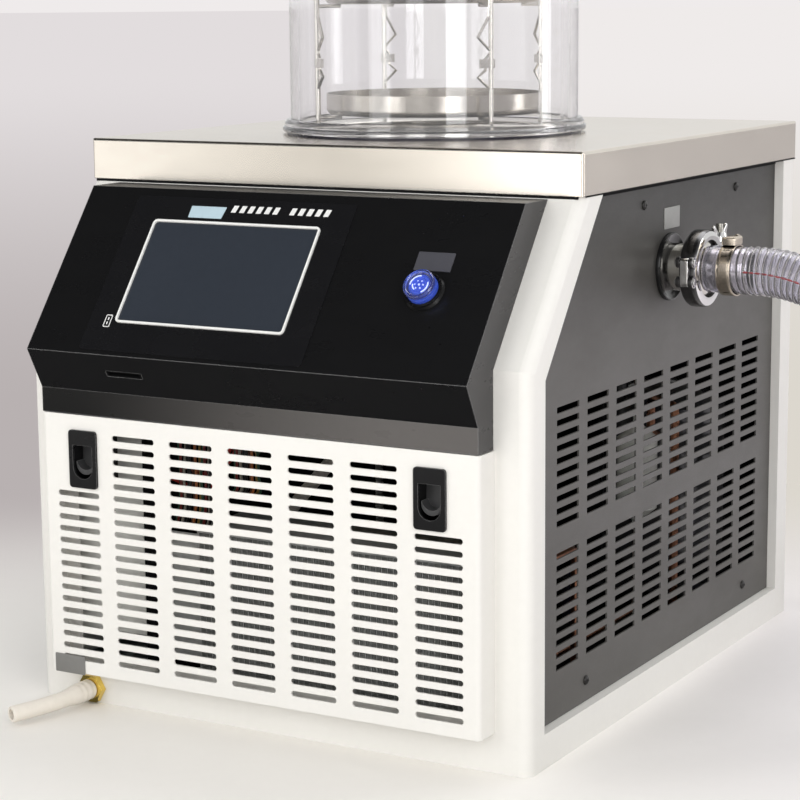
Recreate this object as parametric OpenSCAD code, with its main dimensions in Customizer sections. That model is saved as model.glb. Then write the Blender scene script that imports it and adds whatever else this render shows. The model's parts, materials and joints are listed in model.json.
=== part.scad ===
// Benchtop freeze dryer: a sheet-metal cabinet with a sloping touch console, a steel top with a
// cold trap sunk into it, a clear drum with a wire tray rack, and a vacuum line on the right side.
// The origin is the centre of the underside: X to the right, Y to the back, Z up.

/* [Cabinet] */
// Width across the side frames
body_w = 470; // [460:1:500]
// Depth from the front columns to the rear face
body_d = 561; // [555:1:580]
// Height of the painted frame under the steel top
frame_h = 438.5; // [437:0.5:442]
// Height of the vertical part of the front
front_h = 315.4; // [312:0.2:318]
// Lean of the sloping front, measured from vertical
slope_a = 37.36; // [36:0.02:38]
// Radius of the upright edges
edge_r = 10; // [6:1:14]
// Sheet thickness of the frame
skin = 1.5; // [1.2:0.1:2]
// Height of the steel top
top_h = 34.5; // [30:0.5:36]

/* [Vents] */
// Rows of slots in the front cover and in each side panel
vent_rows = 20; // [12:2:20]
// Columns of slots in the front cover
front_cols = 7; // [5:2:7]
// Columns of slots in each side panel
side_cols = 8; // [5:1:8]
// Length of a front slot
front_slot_l = 42; // [36:1:46]
// Height of a front slot
front_slot_h = 4.6; // [4:0.2:5.4]
// Length of a side slot
side_slot_l = 40; // [34:1:44]
// Height of a side slot
side_slot_h = 5; // [4:0.2:6]

/* [Console] */
// Width of the console and its cover
console_w = 409; // [405:1:410]
// Length of the console's face, measured up the slope
face_l = 159; // [157:0.5:160]
// Width of the screen module
screen_w = 153.3; // [145:0.1:155]
// Height of the screen module
screen_h = 90.2; // [84:0.1:91]
// Radius of the pilot lamp's bezel
lamp_r = 16.5; // [15:0.5:18]

/* [Drum and rack] */
// Height of the clear drum's wall
drum_h = 427; // [410:1:440]
// Outer radius of the clear drum
drum_r = 126.7; // [124:0.1:128]
// Wall thickness of the clear drum
drum_t = 8; // [5:0.5:9]
// Spacing of the trays
tray_pitch = 95; // [90:1:97]
// Radius of a tray
tray_r = 95; // [90:1:97]
// Inner radius of the cold trap
trap_r = 103; // [102:0.5:104]

/* [Vacuum port] */
// Height of the port's axis
port_z = 365; // [360:1:370]
// Outer radius of the port's pipe
pipe_r = 20; // [19.5:0.1:20.2]

/* [Hidden] */
$fn = 72;

warm_white = [0.95, 0.94, 0.91];
panel_grey = [0.40, 0.39, 0.38];
satin_black = [0.11, 0.11, 0.12];
steel = [0.75, 0.73, 0.69];
brass = [0.80, 0.62, 0.28];
copper = [0.75, 0.42, 0.25];
clear = [0.85, 0.90, 0.92, 0.4];

// Small distance by which a cut runs past a face
past = 1;

// Sheet-metal cabinet, with Y measured from the front columns until the part is placed
slope_run = (frame_h - front_h) * tan(slope_a);
side_pts = [[0, 0], [body_d, 0], [body_d, frame_h], [slope_run, frame_h], [0, front_h]];
border = [28, 34, 0, 27, 26.5];
lip_w = 26;
panel_t = 1.6;
panel_x = body_w / 2 - 8.4;
panel_gap = 0.5;
window = inset(side_pts, border);
column_w = 29.5;
cover_w = body_w - 2 * column_w;
cover_z0 = 32.5;
cover_z1 = 254;
cover_y = -24.2;
front_open_w = 380;
front_open_z0 = 45;
front_open_z1 = 247;
rear_open_w = 410;
rear_open_z0 = 28;
rear_open_z1 = 412;
rear_panel_y = body_d - 4;

// Vent pattern
front_pitch_x = 56.7;
row_pitch = 10.07;
front_top_z = 237.3;
side_pitch_y = 55.24;
side_first_y = 83.9;
side_row_pitch = 10;
side_top_z = 275.8;
side_low_z = 160.1;
side_screws = [[225.6, 421], [427.9, 421], [118.3, 46], [461.7, 46]];
screw_r = 2;

// Console: nose at the foot of the face
nose = [-42.1, 309.4];
console_z0 = 254.6;
chin_z = 275.1;
console_t = 2.5;
face_top = nose + face_l * [sin(slope_a), cos(slope_a)];
back_at_top = (face_top[1] - front_h) * tan(slope_a);
console_pts = [
    [cover_y, console_z0], [0, console_z0], [0, front_h], [back_at_top, face_top[1]],
    face_top, nose, [cover_y, chin_z]
];
chin_a = atan2(nose[1] - chin_z, nose[0] - cover_y);
screen_x = -46.9;
screen_s = 79.15;
bezel_h = 3;
lamp_x = 144;
lamp_s = 76.5;

// Latches: centre height and depth of the cup behind the cover
latch_x = 163.5;
latch_z = 217.25;
cup_w = 24;
cup_h = 46;
cup_back = 6;
cup_t = 1.5;

// Chamber
top_z = frame_h + top_h;
drum_y = 281.3;
seal_h = 2;
tray_z = 490;
tray_h = 18;
trap_z = 309;
trap_wall = 1.5;
coil_r = 94;
coil_tube_r = 5;
coil_pitch = 14;
coil_turns = 9;
leg_r = 78;
leg_z = 275;
foam_r = 135;
foam_z = 282;
post_r = 108.6;
post_a = [-35.6, 54.4, 144.4, 234.4];
rack_ring_r = 2.5;
rack_ring_z = [top_z + rack_ring_r, tray_z + 3 * tray_pitch + 88];

// Cooling unit
cond_x0 = -80;
cond_x1 = 185;
cond_y0 = 16;
cond_y1 = 56;
cond_z0 = 30;
cond_z1 = 160;
fan_x = 52.5;
fan_z = 96;
comp_x = 140;
comp_y = 472;
comp_r = 60;
drier_x = 170;
drier_y = 345;
box_x0 = -205;
box_x1 = -131.5;

// Vacuum port, along X at this Y
port_y = 279;
kf_r = 27.5;
kf_face = 254.5;
adapter_face = kf_face + 3;
adapter_end = 302;
band_x = 277;
clamp_x = 256;
clamp_r = 32.5;
bolt_y = 318;
bolt_r = 3;
hose_r = 20.5;
end_bore_r = 13;
end_bore_l = 22;

// Drain
drain_x = -180;
drain_z = 13;
drain_r = 7;

// Route of the vacuum hose in the part's own frame: out of the barb, down, round on the bench
// and towards the back
hose_pts = [
    [271, -1.5, 365], [304, -1.5, 365], [324, -2, 364], [345, -3, 360], [366, -4.5, 353],
    [392, -6.5, 340], [421, -8, 320], [449, -8.5, 296], [474, -8.5, 268], [495, -8.5, 237],
    [511, -8.5, 203], [521, -6.5, 169], [526, 1.5, 137], [527, 15, 106], [527, 37, 78],
    [526, 65, 52],
    [524, 100, 32], [518, 138, 23], [508, 176, 21], [490, 214, 21], [468, 250, 21],
    [441, 281, 21], [409, 307, 21], [373, 324, 22.5], [336, 330, 26], [300, 330, 28]
];

// Route of the drain tube from the barb to its open end on the bench
drain_pts = [
    [-180, -287, 13], [-180, -299, 13], [-180.5, -311, 13], [-182, -323, 12.5],
    [-185, -335, 12], [-189, -346.5, 11.5], [-193.5, -357.5, 11], [-198.5, -368, 10.5]
];

// ---------------------------------------------------------------- helpers

function unit(v) = v / norm(v);

// Counter-clockwise outline with each edge moved inwards by its own distance
function inset(pts, ds) = [
    for (i = [0:len(pts) - 1])
        let (
            n = len(pts),
            before = (i + n - 1) % n,
            u = unit(pts[i] - pts[before]),
            v = unit(pts[(i + 1) % n] - pts[i]),
            n1 = [-u[1], u[0]],
            n2 = [-v[1], v[0]],
            det = n1[0] * n2[1] - n1[1] * n2[0]
        )
        pts[i] + [ds[before] * n2[1] - ds[i] * n1[1], n1[0] * ds[i] - n2[0] * ds[before]] / det
];

function all_edges(pts, d) = [for (p = pts) d];

// Points of the arc that replaces the corner b of a route, with bend radius r
function bend(a, b, c, r, steps) =
    let (
        u = unit(a - b),
        v = unit(c - b),
        inner = acos(u * v),
        centre = b + unit(u + v) * r / sin(inner / 2),
        p0 = b + u * r / tan(inner / 2) - centre,
        p1 = b + v * r / tan(inner / 2) - centre,
        turn = 180 - inner
    )
    [for (k = [0:steps]) centre + (sin((1 - k / steps) * turn) * p0 + sin(k / steps * turn) * p1) / sin(turn)];

// Route with every inner corner bent to radius r
function bent(pts, r, steps = 3) = concat(
    [pts[0]],
    [for (i = [1:len(pts) - 2]) each bend(pts[i - 1], pts[i], pts[i + 1], r, steps)],
    [pts[len(pts) - 1]]
);

function tangent(pts, i) = unit(pts[min(i + 1, len(pts) - 1)] - pts[max(i - 1, 0)]);

function across_to(t, v) = unit(v - t * (t * v));

// One direction across the route at each point, carried along without twist
function carried(pts) = [
    for (
        i = 0, v = across_to(tangent(pts, 0), [0.31, 0.52, 0.79]);
        i < len(pts);
        i = i + 1, v = i < len(pts) ? across_to(tangent(pts, i), v) : v
    ) v
];

// Solid tube swept along a route
module swept(pts, r, sides = 8) {
    side_dirs = carried(pts);
    rings = [
        for (i = [0:len(pts) - 1], k = [0:sides - 1])
            let (a = 360 * k / sides, e = side_dirs[i])
            pts[i] + r * (cos(a) * e + sin(a) * cross(tangent(pts, i), e))
    ];
    last = (len(pts) - 1) * sides;
    walls = [
        for (i = [0:len(pts) - 2], k = [0:sides - 1])
            let (a = i * sides + k, b = i * sides + (k + 1) % sides)
            each [[a, a + sides, b], [b, a + sides, b + sides]]
    ];
    ends = [[for (k = [0:sides - 1]) k], [for (k = [sides - 1:-1:0]) last + k]];
    polyhedron(rings, concat(walls, ends));
}

// Cabinet coordinates, with Y from the front columns
module from_front() {
    translate([0, -body_d / 2, 0]) children();
}

// Prism between two X positions, of an outline drawn in Y and Z
module along_x(x0, x1) {
    translate([x0, 0, 0]) rotate([90, 0, 90]) linear_extrude(x1 - x0) children();
}

// Prism between two Y positions, of an outline drawn in X and Z
module along_y(y0, y1) {
    translate([0, y1, 0]) rotate([90, 0, 0]) linear_extrude(y1 - y0) children();
}

// Turned piece with its axis along X, the profile drawn as [radius, x]
module turned_x(y, z) {
    translate([0, y, z]) rotate([0, 90, 0]) rotate_extrude() children();
}

// Place on the console's face: x across, s up the slope, Z out of the face
module on_face(x, s) {
    translate([x, nose[0] + s * sin(slope_a), nose[1] + s * cos(slope_a)])
        rotate([90 - slope_a, 0, 0]) children();
}

module plate_2d(w, h, r) {
    square([w - 2 * r, h], center = true);
    square([w, h - 2 * r], center = true);
    for (x = [-1, 1], y = [-1, 1]) translate([x * (w / 2 - r), y * (h / 2 - r)]) circle(r);
}

module plate(w, h, r, t) {
    linear_extrude(t) plate_2d(w, h, r);
}

module slot_2d(l, h) {
    square([l - h, h], center = true);
    for (s = [-1, 1]) translate([s * (l - h) / 2, 0]) circle(h / 2);
}

module ring(r_out, r_in, h) {
    difference() {
        cylinder(r = r_out, h = h);
        translate([0, 0, -past]) cylinder(r = r_in, h = h + 2 * past);
    }
}

// ---------------------------------------------------------------- cabinet

// Side profile with rounded uprights, drawn in by d
module cabinet_block(d) {
    w = body_w - 2 * d;
    intersection() {
        along_x(-w / 2 - past, w / 2 + past) polygon(inset(side_pts, all_edges(side_pts, d)));
        translate([0, body_d / 2, -past]) plate(w, body_d - 2 * d, edge_r - d, frame_h + 2 * past);
    }
}

// Waste along the two edges of the sloping front, drawn as the corner at the origin
module slope_edges(d) {
    for (s = [0, 1]) mirror([s, 0, 0])
        translate([body_w / 2 - d, 0, front_h]) rotate([-slope_a, 0, 0]) translate([0, d, -40])
            linear_extrude(260) children();
}

module cabinet_outside() {
    difference() {
        cabinet_block(0);
        slope_edges(0) difference() {
            translate([-edge_r, -past]) square([edge_r + past, edge_r + past]);
            translate([-edge_r, edge_r]) circle(edge_r + 0.05);
        }
    }
}

// Hollow of the frame: its sloping edges are folded in two steps
module cabinet_inside() {
    fold = 5;
    difference() {
        cabinet_block(skin);
        slope_edges(skin) polygon([[-fold - past, -past], [past, -past], [past, fold + past]]);
    }
}

// Edge return and rebate lip round one side window
module side_rebate() {
    outer = inset(side_pts, border - [skin, skin, 0, skin, skin]);
    lip = inset(side_pts, border + lip_w * [1, 1, 1, 1, 1]);
    along_x(panel_x - panel_t, body_w / 2 - skin / 2) difference() {
        polygon(outer);
        polygon(inset(side_pts, border - [0, 0, past, 0, 0]));
    }
    along_x(panel_x - panel_t - skin, panel_x - panel_t) difference() {
        polygon(outer);
        polygon(lip);
        for (p = side_screws) translate(p) circle(screw_r + 0.2);
    }
}

module rear_2d(grow) {
    translate([0, (rear_open_z0 + rear_open_z1) / 2])
        plate_2d(rear_open_w + 2 * grow, rear_open_z1 - rear_open_z0 + 2 * grow, 6);
}

function rear_screw_places() = [
    for (x = [-1, 1], z = [rear_open_z0 + 12, 220, rear_open_z1 - 12]) [x * (rear_open_w / 2 - 9), z]
];

module rear_rebate() {
    along_y(rear_panel_y - skin, body_d - skin / 2) difference() {
        rear_2d(skin);
        rear_2d(0);
    }
    along_y(rear_panel_y - 2 * skin, rear_panel_y - skin) difference() {
        rear_2d(skin);
        rear_2d(-18);
        for (p = rear_screw_places()) translate(p) circle(screw_r + 0.2);
    }
}

module cabinet_frame() {
    color(warm_white) from_front() difference() {
        union() {
            difference() {
                cabinet_outside();
                cabinet_inside();
                translate([0, body_d / 2, -past])
                    plate(body_w - 2 * skin, body_d - 2 * skin, edge_r - skin, skin + 2 * past);
                for (s = [0, 1]) mirror([s, 0, 0])
                    along_x(panel_x - panel_t - skin, body_w / 2 + past)
                        polygon(inset(side_pts, border - [0, 0, past, 0, 0]));
                along_y(body_d - 2 * skin, body_d + past) rear_2d(0);
            }
            for (s = [0, 1]) mirror([s, 0, 0]) side_rebate();
            rear_rebate();
        }
        front_openings();
    }
}

// Openings of the front wall: behind the vent cover, for its tabs, and for the console's wires;
// the top is open under the steel pan
module front_openings() {
    along_y(-past, skin + past) {
        translate([-front_open_w / 2, front_open_z0])
            square([front_open_w, front_open_z1 - front_open_z0]);
        for (s = [-1, 1]) translate([s * 120, 39]) square([21, 4], center = true);
        translate([-40, 285]) circle(20);
        translate([lamp_x, 285]) circle(8);
        translate([drain_x, drain_z]) circle(6.5);
    }
    inner_w = 2 * (panel_x - panel_t) - 48;
    translate([-inner_w / 2, slope_run + 32, frame_h - 2 * skin])
        cube([inner_w, body_d - slope_run - 32 - 26, 3 * skin]);
}

module base_pan() {
    floor_t = 2;
    wall_t = 1.5;
    w = body_w - 2 * skin;
    d = body_d - 2 * skin;
    color(panel_grey) difference() {
        plate(w, d, edge_r - skin, 20);
        translate([0, 0, floor_t]) plate(w - 2 * wall_t, d - 2 * wall_t, edge_r - skin - wall_t, 20);
        translate([drain_x, -d / 2, drain_z]) rotate([90, 0, 0])
            cylinder(r = 12, h = 10, center = true);
    }
}

// ---------------------------------------------------------------- panels

function side_slot_rows(half) = [
    for (i = [0:vent_rows / 2 - 1]) (half == 0 ? side_top_z : side_low_z) - i * side_row_pitch
];

module side_panel_2d() {
    difference() {
        polygon(inset(side_pts, border + panel_gap * [1, 1, 1, 1, 1]));
        for (i = [0:side_cols - 1], half = [0, 1], z = side_slot_rows(half))
            translate([side_first_y + i * side_pitch_y, z])
                square([side_slot_l, side_slot_h], center = true);
        for (p = side_screws) translate(p) circle(screw_r + 0.2);
    }
}

module left_side_panel() {
    color(panel_grey) from_front() mirror([1, 0, 0])
        along_x(panel_x - panel_t, panel_x) side_panel_2d();
}

module right_side_panel() {
    color(panel_grey) from_front() along_x(panel_x - panel_t, panel_x) difference() {
        side_panel_2d();
        translate([port_y, port_z]) circle(pipe_r + 2);
    }
}

// Pan-head screw pointing along -Z, its head on the plane Z = 0
module pan_screw(grip) {
    head_r = 4;
    rotate_extrude() union() {
        intersection() {
            square([head_r, 2.4]);
            translate([0, -2.6]) circle(5);
        }
        translate([0, -grip]) square([screw_r, grip]);
    }
}

module side_panel_screws() {
    color(steel) from_front() for (s = [0, 1], p = side_screws) mirror([s, 0, 0])
        translate([panel_x, p[0], p[1]]) rotate([0, 90, 0]) pan_screw(8);
}

module rear_panel() {
    grille_l = 60;
    color(warm_white) from_front() along_y(rear_panel_y - skin, rear_panel_y) difference() {
        rear_2d(-panel_gap);
        for (i = [-1:1], k = [0:11])
            translate([i * 76 + 40, 150 + k * 12]) slot_2d(grille_l, 5);
        for (p = rear_screw_places()) translate(p) circle(screw_r + 0.2);
        translate([-140, 84]) square([28.4, 20.4], center = true);
    }
}

module rear_panel_screws() {
    color(steel) from_front() for (p = rear_screw_places())
        translate([p[0], rear_panel_y, p[1]]) rotate([-90, 0, 0]) pan_screw(8);
}

// ---------------------------------------------------------------- front cover and latches

// Folded tray: front plate, four return walls and two tabs at its foot
module front_cover() {
    h = cover_z1 - cover_z0;
    depth = -cover_y;
    r = 4;
    color(warm_white) from_front() difference() {
        union() {
            difference() {
                translate([0, 0, cover_z0]) cover_block(cover_w, depth, h, r);
                translate([0, skin, cover_z0 + skin])
                    cover_block(cover_w - 2 * skin, depth, h - 2 * skin, r - skin);
            }
            for (s = [-1, 1])
                translate([s * 120 - 10, cover_y + skin / 2, 38]) cube([20, 8 - cover_y, 2]);
        }
        along_y(cover_y - past, cover_y + skin + 0.2) {
            front_slots_2d();
            for (s = [-1, 1]) translate([s * latch_x, latch_z]) square([cup_w, cup_h], center = true);
        }
    }
}

// Upright block from the cover's front plane to Y = 0, its two front edges rounded
module cover_block(w, depth, h, r) {
    translate([0, cover_y, 0]) linear_extrude(h) union() {
        translate([-w / 2, r]) square([w, depth - r]);
        translate([-w / 2 + r, 0]) square([w - 2 * r, depth]);
        for (s = [-1, 1]) translate([s * (w / 2 - r), r]) circle(r);
    }
}

module front_slots_2d() {
    half = (front_cols - 1) / 2;
    for (i = [-half:half])
        for (k = [abs(i) == half ? 5 : 0 : vent_rows - 1])
            translate([i * front_pitch_x, front_top_z - k * row_pitch])
                slot_2d(front_slot_l, front_slot_h);
}

// Finger recess: straight top, curved foot
module recess_2d(w, top, foot) {
    r = w / 2;
    translate([-r, foot + r]) square([w, top - foot - r]);
    translate([0, foot + r]) circle(r);
}

module latch_housing(s) {
    flange_t = 2;
    color(satin_black) from_front() translate([s * latch_x, 0, latch_z]) difference() {
        union() {
            along_y(cover_y - flange_t, cover_y) plate_2d(28, 48.5, 3);
            along_y(cover_y, cup_back) square([cup_w, cup_h], center = true);
        }
        along_y(cover_y, cup_back - cup_t)
            square([cup_w - 2 * cup_t, cup_h - 2 * cup_t], center = true);
        along_y(cover_y - flange_t - past, cover_y + past) recess_2d(19.5, 11.55, -16.45);
        translate([-6.3, 1.9, 0]) cube([12.6, cup_back - cup_t - 1.9, cup_h]);
    }
}

// Sliding bolt: back plate with a crescent thumb lip, and a tongue behind the front wall
module latch_slide(s) {
    plate_w = cup_w - 2 * cup_t - 0.6;
    color(satin_black) from_front() translate([s * latch_x, 0, latch_z]) union() {
        along_y(-12, -10) translate([-plate_w / 2, -14.9]) square([plate_w, 36]);
        along_y(-22.5, -12) difference() {
            translate([0, -4.4]) circle(9);
            translate([0, -0.4]) circle(9);
        }
        translate([-6, -10, 6]) cube([12, 14.2, 12]);
        translate([-6, 2.2, 6]) cube([12, 2, 28.75]);
    }
}

// ---------------------------------------------------------------- console

module console_cover() {
    inner = inset(console_pts, [console_t, -past, -past, console_t, console_t, console_t, console_t]);
    color(satin_black) from_front() difference() {
        along_x(-console_w / 2, console_w / 2) polygon(console_pts);
        along_x(console_t - console_w / 2, console_w / 2 - console_t) polygon(inner);
        on_face(screen_x, screen_s) translate([0, 0, -2 * console_t])
            plate(screen_w + 0.6, screen_h + 0.6, 1, 3 * console_t);
        on_face(lamp_x, lamp_s) translate([0, 0, -2 * console_t])
            cylinder(r = 11.2, h = 3 * console_t);
        on_chin() translate([0, 0, -2 * console_t]) plate(34.9, 5.2, 1, 3 * console_t);
    }
}

// Place of the data socket on the plane under the nose, Z out of the plane
module on_chin() {
    translate([-113, nose[0], nose[1]]) rotate([chin_a, 0, 0]) translate([0, -18.7, 0]) children();
}

module console_overlay() {
    film_t = 0.6;
    color([0.16, 0.16, 0.17]) from_front() on_face(-47, 77.5) difference() {
        plate(212, 147, 3, film_t);
        translate([screen_x + 47, screen_s - 77.5, -past])
            plate(screen_w + 9.9, screen_h + 9.7, 6, film_t + 2 * past);
    }
}

module screen_bezel() {
    color(warm_white) from_front() on_face(screen_x, screen_s) difference() {
        plate(screen_w + 9.5, screen_h + 9.3, 6, bezel_h);
        translate([0, 0, -past]) plate(screen_w + 4.7, screen_h + 4.5, 3.6, bezel_h + 1);
    }
}

// Screen module: glass lying on the cover inside the bezel, its case behind the cover
module touch_screen() {
    color([0.22, 0.24, 0.26]) from_front() on_face(screen_x, screen_s) {
        plate(screen_w + 4.5, screen_h + 4.3, 3.5, 0.5);
        translate([0, 0, -console_t]) plate(screen_w - 0.2, screen_h - 0.2, 1, console_t + 0.2);
        translate([0, 0, -14]) plate(164, 100, 2, 14 - console_t);
    }
}

module lamp_bezel() {
    color(satin_black) from_front() on_face(lamp_x, lamp_s) difference() {
        union() {
            rotate_extrude() intersection() {
                square([lamp_r, 4]);
                translate([0, -lamp_r + 4 + 0.6]) circle(lamp_r * 1.24);
            }
            translate([0, 0, -console_t]) cylinder(r = 11, h = console_t);
            translate([0, 0, -7.5]) cylinder(r = 15, h = 5);
            translate([0, 0, -26]) cylinder(r = 10, h = 20);
        }
        translate([0, 0, 2.5]) cylinder(r = lamp_r - 2.5, h = 3);
    }
}

module lamp_lens() {
    r = lamp_r - 2.6;
    rim = 2.5;
    color([0.25, 0.35, 0.9]) from_front() on_face(lamp_x, lamp_s) translate([0, 0, 2.5])
        rotate_extrude() union() {
            square([r, 11 - rim]);
            square([r - rim, 11]);
            translate([r - rim, 11 - rim]) circle(rim);
        }
}

module usb_socket() {
    color([0.05, 0.05, 0.05]) from_front() on_chin() difference() {
        union() {
            translate([0, 0, -console_t]) plate(34.7, 5, 1, console_t);
            translate([0, 0, -16]) plate(38, 9, 1, 16 - console_t);
        }
        translate([0, 0, -10]) plate(31.5, 3, 0.5, 11);
    }
}

// ---------------------------------------------------------------- electrical

// Folded box on a leg that stands on the base pan
module electrical_box() {
    w = box_x1 - box_x0;
    color([0.8, 0.8, 0.78]) from_front() {
        translate([box_x0, 12, 62]) cube([w, 108, 188]);
        translate([box_x0, 118, 2]) cube([w, 2, 60]);
        translate([box_x0, 120, 2]) cube([w, 18, 2]);
    }
}

module mains_inlet() {
    color(satin_black) from_front() translate([-140, rear_panel_y, 84]) difference() {
        union() {
            along_y(0, 2.5) plate_2d(50, 24, 4);
            along_y(-24, 0) plate_2d(28, 20, 3);
        }
        along_y(-16, 3.5) plate_2d(24.5, 16.5, 3);
    }
}

// Wires from the electrical box up through the front wall to the screen
module wiring_loom() {
    from_front() for (i = [0:3])
        color([[0.8, 0.1, 0.1], [0.1, 0.5, 0.2], [0.1, 0.1, 0.1], [0.85, 0.5, 0.1]][i])
            swept(bent([
                [box_x1, 34 + 9 * i, 196 + 10 * i], [box_x1 + 12, 34 + 9 * i, 196 + 10 * i],
                [-78 + 6 * i, 30 + 5 * i, 186 + 12 * i], [-46 + 6 * i, 24 + 4 * i, 236],
                [-46 + 4 * i, 16, 284], [-46 + 4 * i, -9, 287], [-46 + 4 * i, -6, 315],
                [-46 + 4 * i, 8, 333], [-46 + 4 * i, -1.1, 340]
            ], 5, 2), 1.6, 6);
}

// ---------------------------------------------------------------- top and chamber

// Rounded block of the steel top, drawn in by d on every side but the underside
module pan_form(d) {
    w = body_w - 1.6 - 2 * d;
    y0 = slope_run - 1 + d;
    y1 = body_d - d;
    r = 2.5 - d;
    tall = 2 * (top_h - d);
    translate([0, 0, frame_h]) intersection() {
        translate([0, (y0 + y1) / 2, 0]) plate(w, y1 - y0, r, tall);
        along_y(y0, y1) plate_2d(w, tall, r);
        along_x(-w / 2, w / 2) translate([(y0 + y1) / 2, 0]) plate_2d(y1 - y0, tall, r);
    }
}

module steel_top() {
    flange_w = 20;
    color(steel) from_front() difference() {
        pan_form(0);
        difference() {
            pan_form(skin);
            translate([-body_w, 0, frame_h - past]) cube([2 * body_w, body_d, past + skin]);
        }
        translate([-body_w / 2 + flange_w, slope_run + flange_w, frame_h - past])
            cube([body_w - 2 * flange_w, body_d - slope_run - 2 * flange_w, 4]);
        translate([0, drum_y, frame_h]) cylinder(r = trap_r, h = top_h + past);
    }
}

// Wall of the cold trap, with the rim that hangs from the steel top
module cold_trap() {
    sheet_z = top_z - skin;
    color(steel) from_front() difference() {
        translate([0, drum_y, 0]) rotate_extrude() union() {
            translate([trap_r, trap_z - trap_wall]) square([trap_wall, sheet_z - trap_z + trap_wall]);
            translate([trap_r, sheet_z - trap_wall]) square([12, trap_wall]);
        }
        translate([0, port_y, port_z]) rotate([0, 90, 0]) cylinder(r = pipe_r, h = 200);
    }
}

// Floor of the cold trap, with its drain stub and the holes for the evaporator tube
module trap_floor() {
    color(steel) from_front() difference() {
        translate([0, drum_y, 0]) rotate_extrude() union() {
            translate([6, trap_z - trap_wall]) square([trap_r - 6, trap_wall]);
            translate([6, trap_z - 16]) square([2, 16]);
        }
        for (x = [leg_r, coil_r]) translate([x, drum_y, trap_z - 20])
            cylinder(r = coil_tube_r, h = 30);
    }
}

// Evaporator tube: a riser inside the trap, then turns down its wall and out at the foot
module trap_coil() {
    steps = 20;
    z1 = trap_z + 12 + coil_turns * coil_pitch;
    riser = [[leg_r, 0, leg_z], [leg_r, 0, z1 - 10], [leg_r + 3, 1, z1 - 2], [coil_r - 6, 8, z1 + 1]];
    turns = [
        for (i = [3:coil_turns * steps - 2])
            let (a = 360 * i / steps)
            [coil_r * cos(a), coil_r * sin(a), z1 - coil_pitch * i / steps]
    ];
    foot = [[coil_r, -10, trap_z + 14], [coil_r, -2, trap_z + 9], [coil_r, 0, trap_z], [coil_r, 0, leg_z]];
    color(copper) from_front() translate([0, drum_y, 0])
        swept(concat(riser, turns, foot), coil_tube_r);
}

// Foam jacket of the cold trap: a base disc and a sleeve, with a joint between them
module trap_insulation() {
    joint = 0.4;
    base_h = trap_z - trap_wall - foam_z;
    color([0.9, 0.87, 0.75]) from_front() difference() {
        translate([0, drum_y, foam_z]) union() {
            cylinder(r = foam_r, h = base_h);
            translate([0, 0, base_h + joint])
                ring(foam_r, trap_r + trap_wall, top_z - 6 - foam_z - base_h - joint);
        }
        translate([0, drum_y, foam_z - past]) cylinder(r = 8, h = 40);
        for (x = [leg_r, coil_r]) translate([x, drum_y, foam_z - past])
            cylinder(r = coil_tube_r, h = 40);
        translate([0, port_y, port_z]) rotate([0, 90, 0]) cylinder(r = pipe_r, h = 200);
    }
}

module drain_line() {
    color([0.9, 0.88, 0.84]) from_front() swept(bent([
        [0, drum_y, trap_z - 16], [0, drum_y, 262], [-60, 230, 200], [-112, 180, 120],
        [-112, 150, 26], [-112, 60, 16], [drain_x, 50, drain_z], [drain_x, 12, drain_z]
    ], 14, 3), 6);
}

module seal_ring() {
    color([0.25, 0.22, 0.27]) from_front() translate([0, drum_y, top_z]) ring(130, 112, seal_h);
}

module drum_flange() {
    color(clear) from_front() translate([0, drum_y, top_z + seal_h]) ring(drum_r + 7.4, drum_r, 11);
}

module drum_tube() {
    color(clear) from_front() translate([0, drum_y, top_z + seal_h]) ring(drum_r, drum_r - drum_t, drum_h);
}

module drum_top() {
    color(clear) from_front() translate([0, drum_y, top_z + seal_h + drum_h])
        cylinder(r = drum_r, h = 12);
}

// Sideways offsets of the bent wire of a post, as [height above the tray, offset]
function post_wave() = [[23, 0], [34, 12], [40, 5], [49, 5], [55, 0], [67, 12], [84, 2]];

// One post at the angle a, with its bent wire on the given side
module rack_post(a, side) {
    wire_r = 1.4;
    wave = concat(
        [[0, rack_ring_z[0] + rack_ring_r + 0.1 - tray_z]],
        [for (i = [0:3]) each [for (p = post_wave()) [p[1], i * tray_pitch + p[0]]]]
    );
    difference() {
        rotate([0, 0, a]) translate([post_r, 0, rack_ring_z[0]])
            cylinder(r = 2, h = rack_ring_z[1] - rack_ring_z[0], $fn = 24);
        rack_rings_shape();
    }
    rotate([0, 0, a]) {
        swept([for (p = wave) [post_r, side * p[0], tray_z + p[1]]], wire_r, 6);
        for (i = [0:3]) {
            translate([88, 0, tray_z + i * tray_pitch - 1.5]) rotate([0, 90, 0])
                cylinder(r = 1.5, h = post_r - 88, $fn = 24);
            translate([post_r - 1.5, side > 0 ? -3 : -10, tray_z + i * tray_pitch + 41.5])
                cube([3, 13, 7.5]);
        }
    }
}

module rack_rings_shape() {
    for (z = rack_ring_z)
        translate([0, 0, z]) rotate_extrude() translate([post_r, 0]) circle(rack_ring_r, $fn = 24);
}

// Foot ring and head ring of the tray rack
module rack_rings() {
    color(steel) from_front() translate([0, drum_y, 0]) rack_rings_shape();
}

// Posts of the tray rack, each welded between the two rings
module rack_posts() {
    color(steel) from_front() translate([0, drum_y, 0])
        for (i = [0:3]) rack_post(post_a[i], i % 2 == 0 ? -1 : 1);
}

module tray(i) {
    wall = 1;
    r = 5;
    color(steel) from_front() translate([0, drum_y, tray_z + i * tray_pitch])
        rotate_extrude() difference() {
            tray_profile(tray_r, tray_h, r);
            translate([0, wall]) tray_profile(tray_r - wall, tray_h, r - wall);
        }
}

module tray_profile(w, h, r) {
    square([w - r, h]);
    translate([0, r]) square([w, h - r]);
    translate([w - r, r]) circle(r);
}

// ---------------------------------------------------------------- cooling unit

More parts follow.
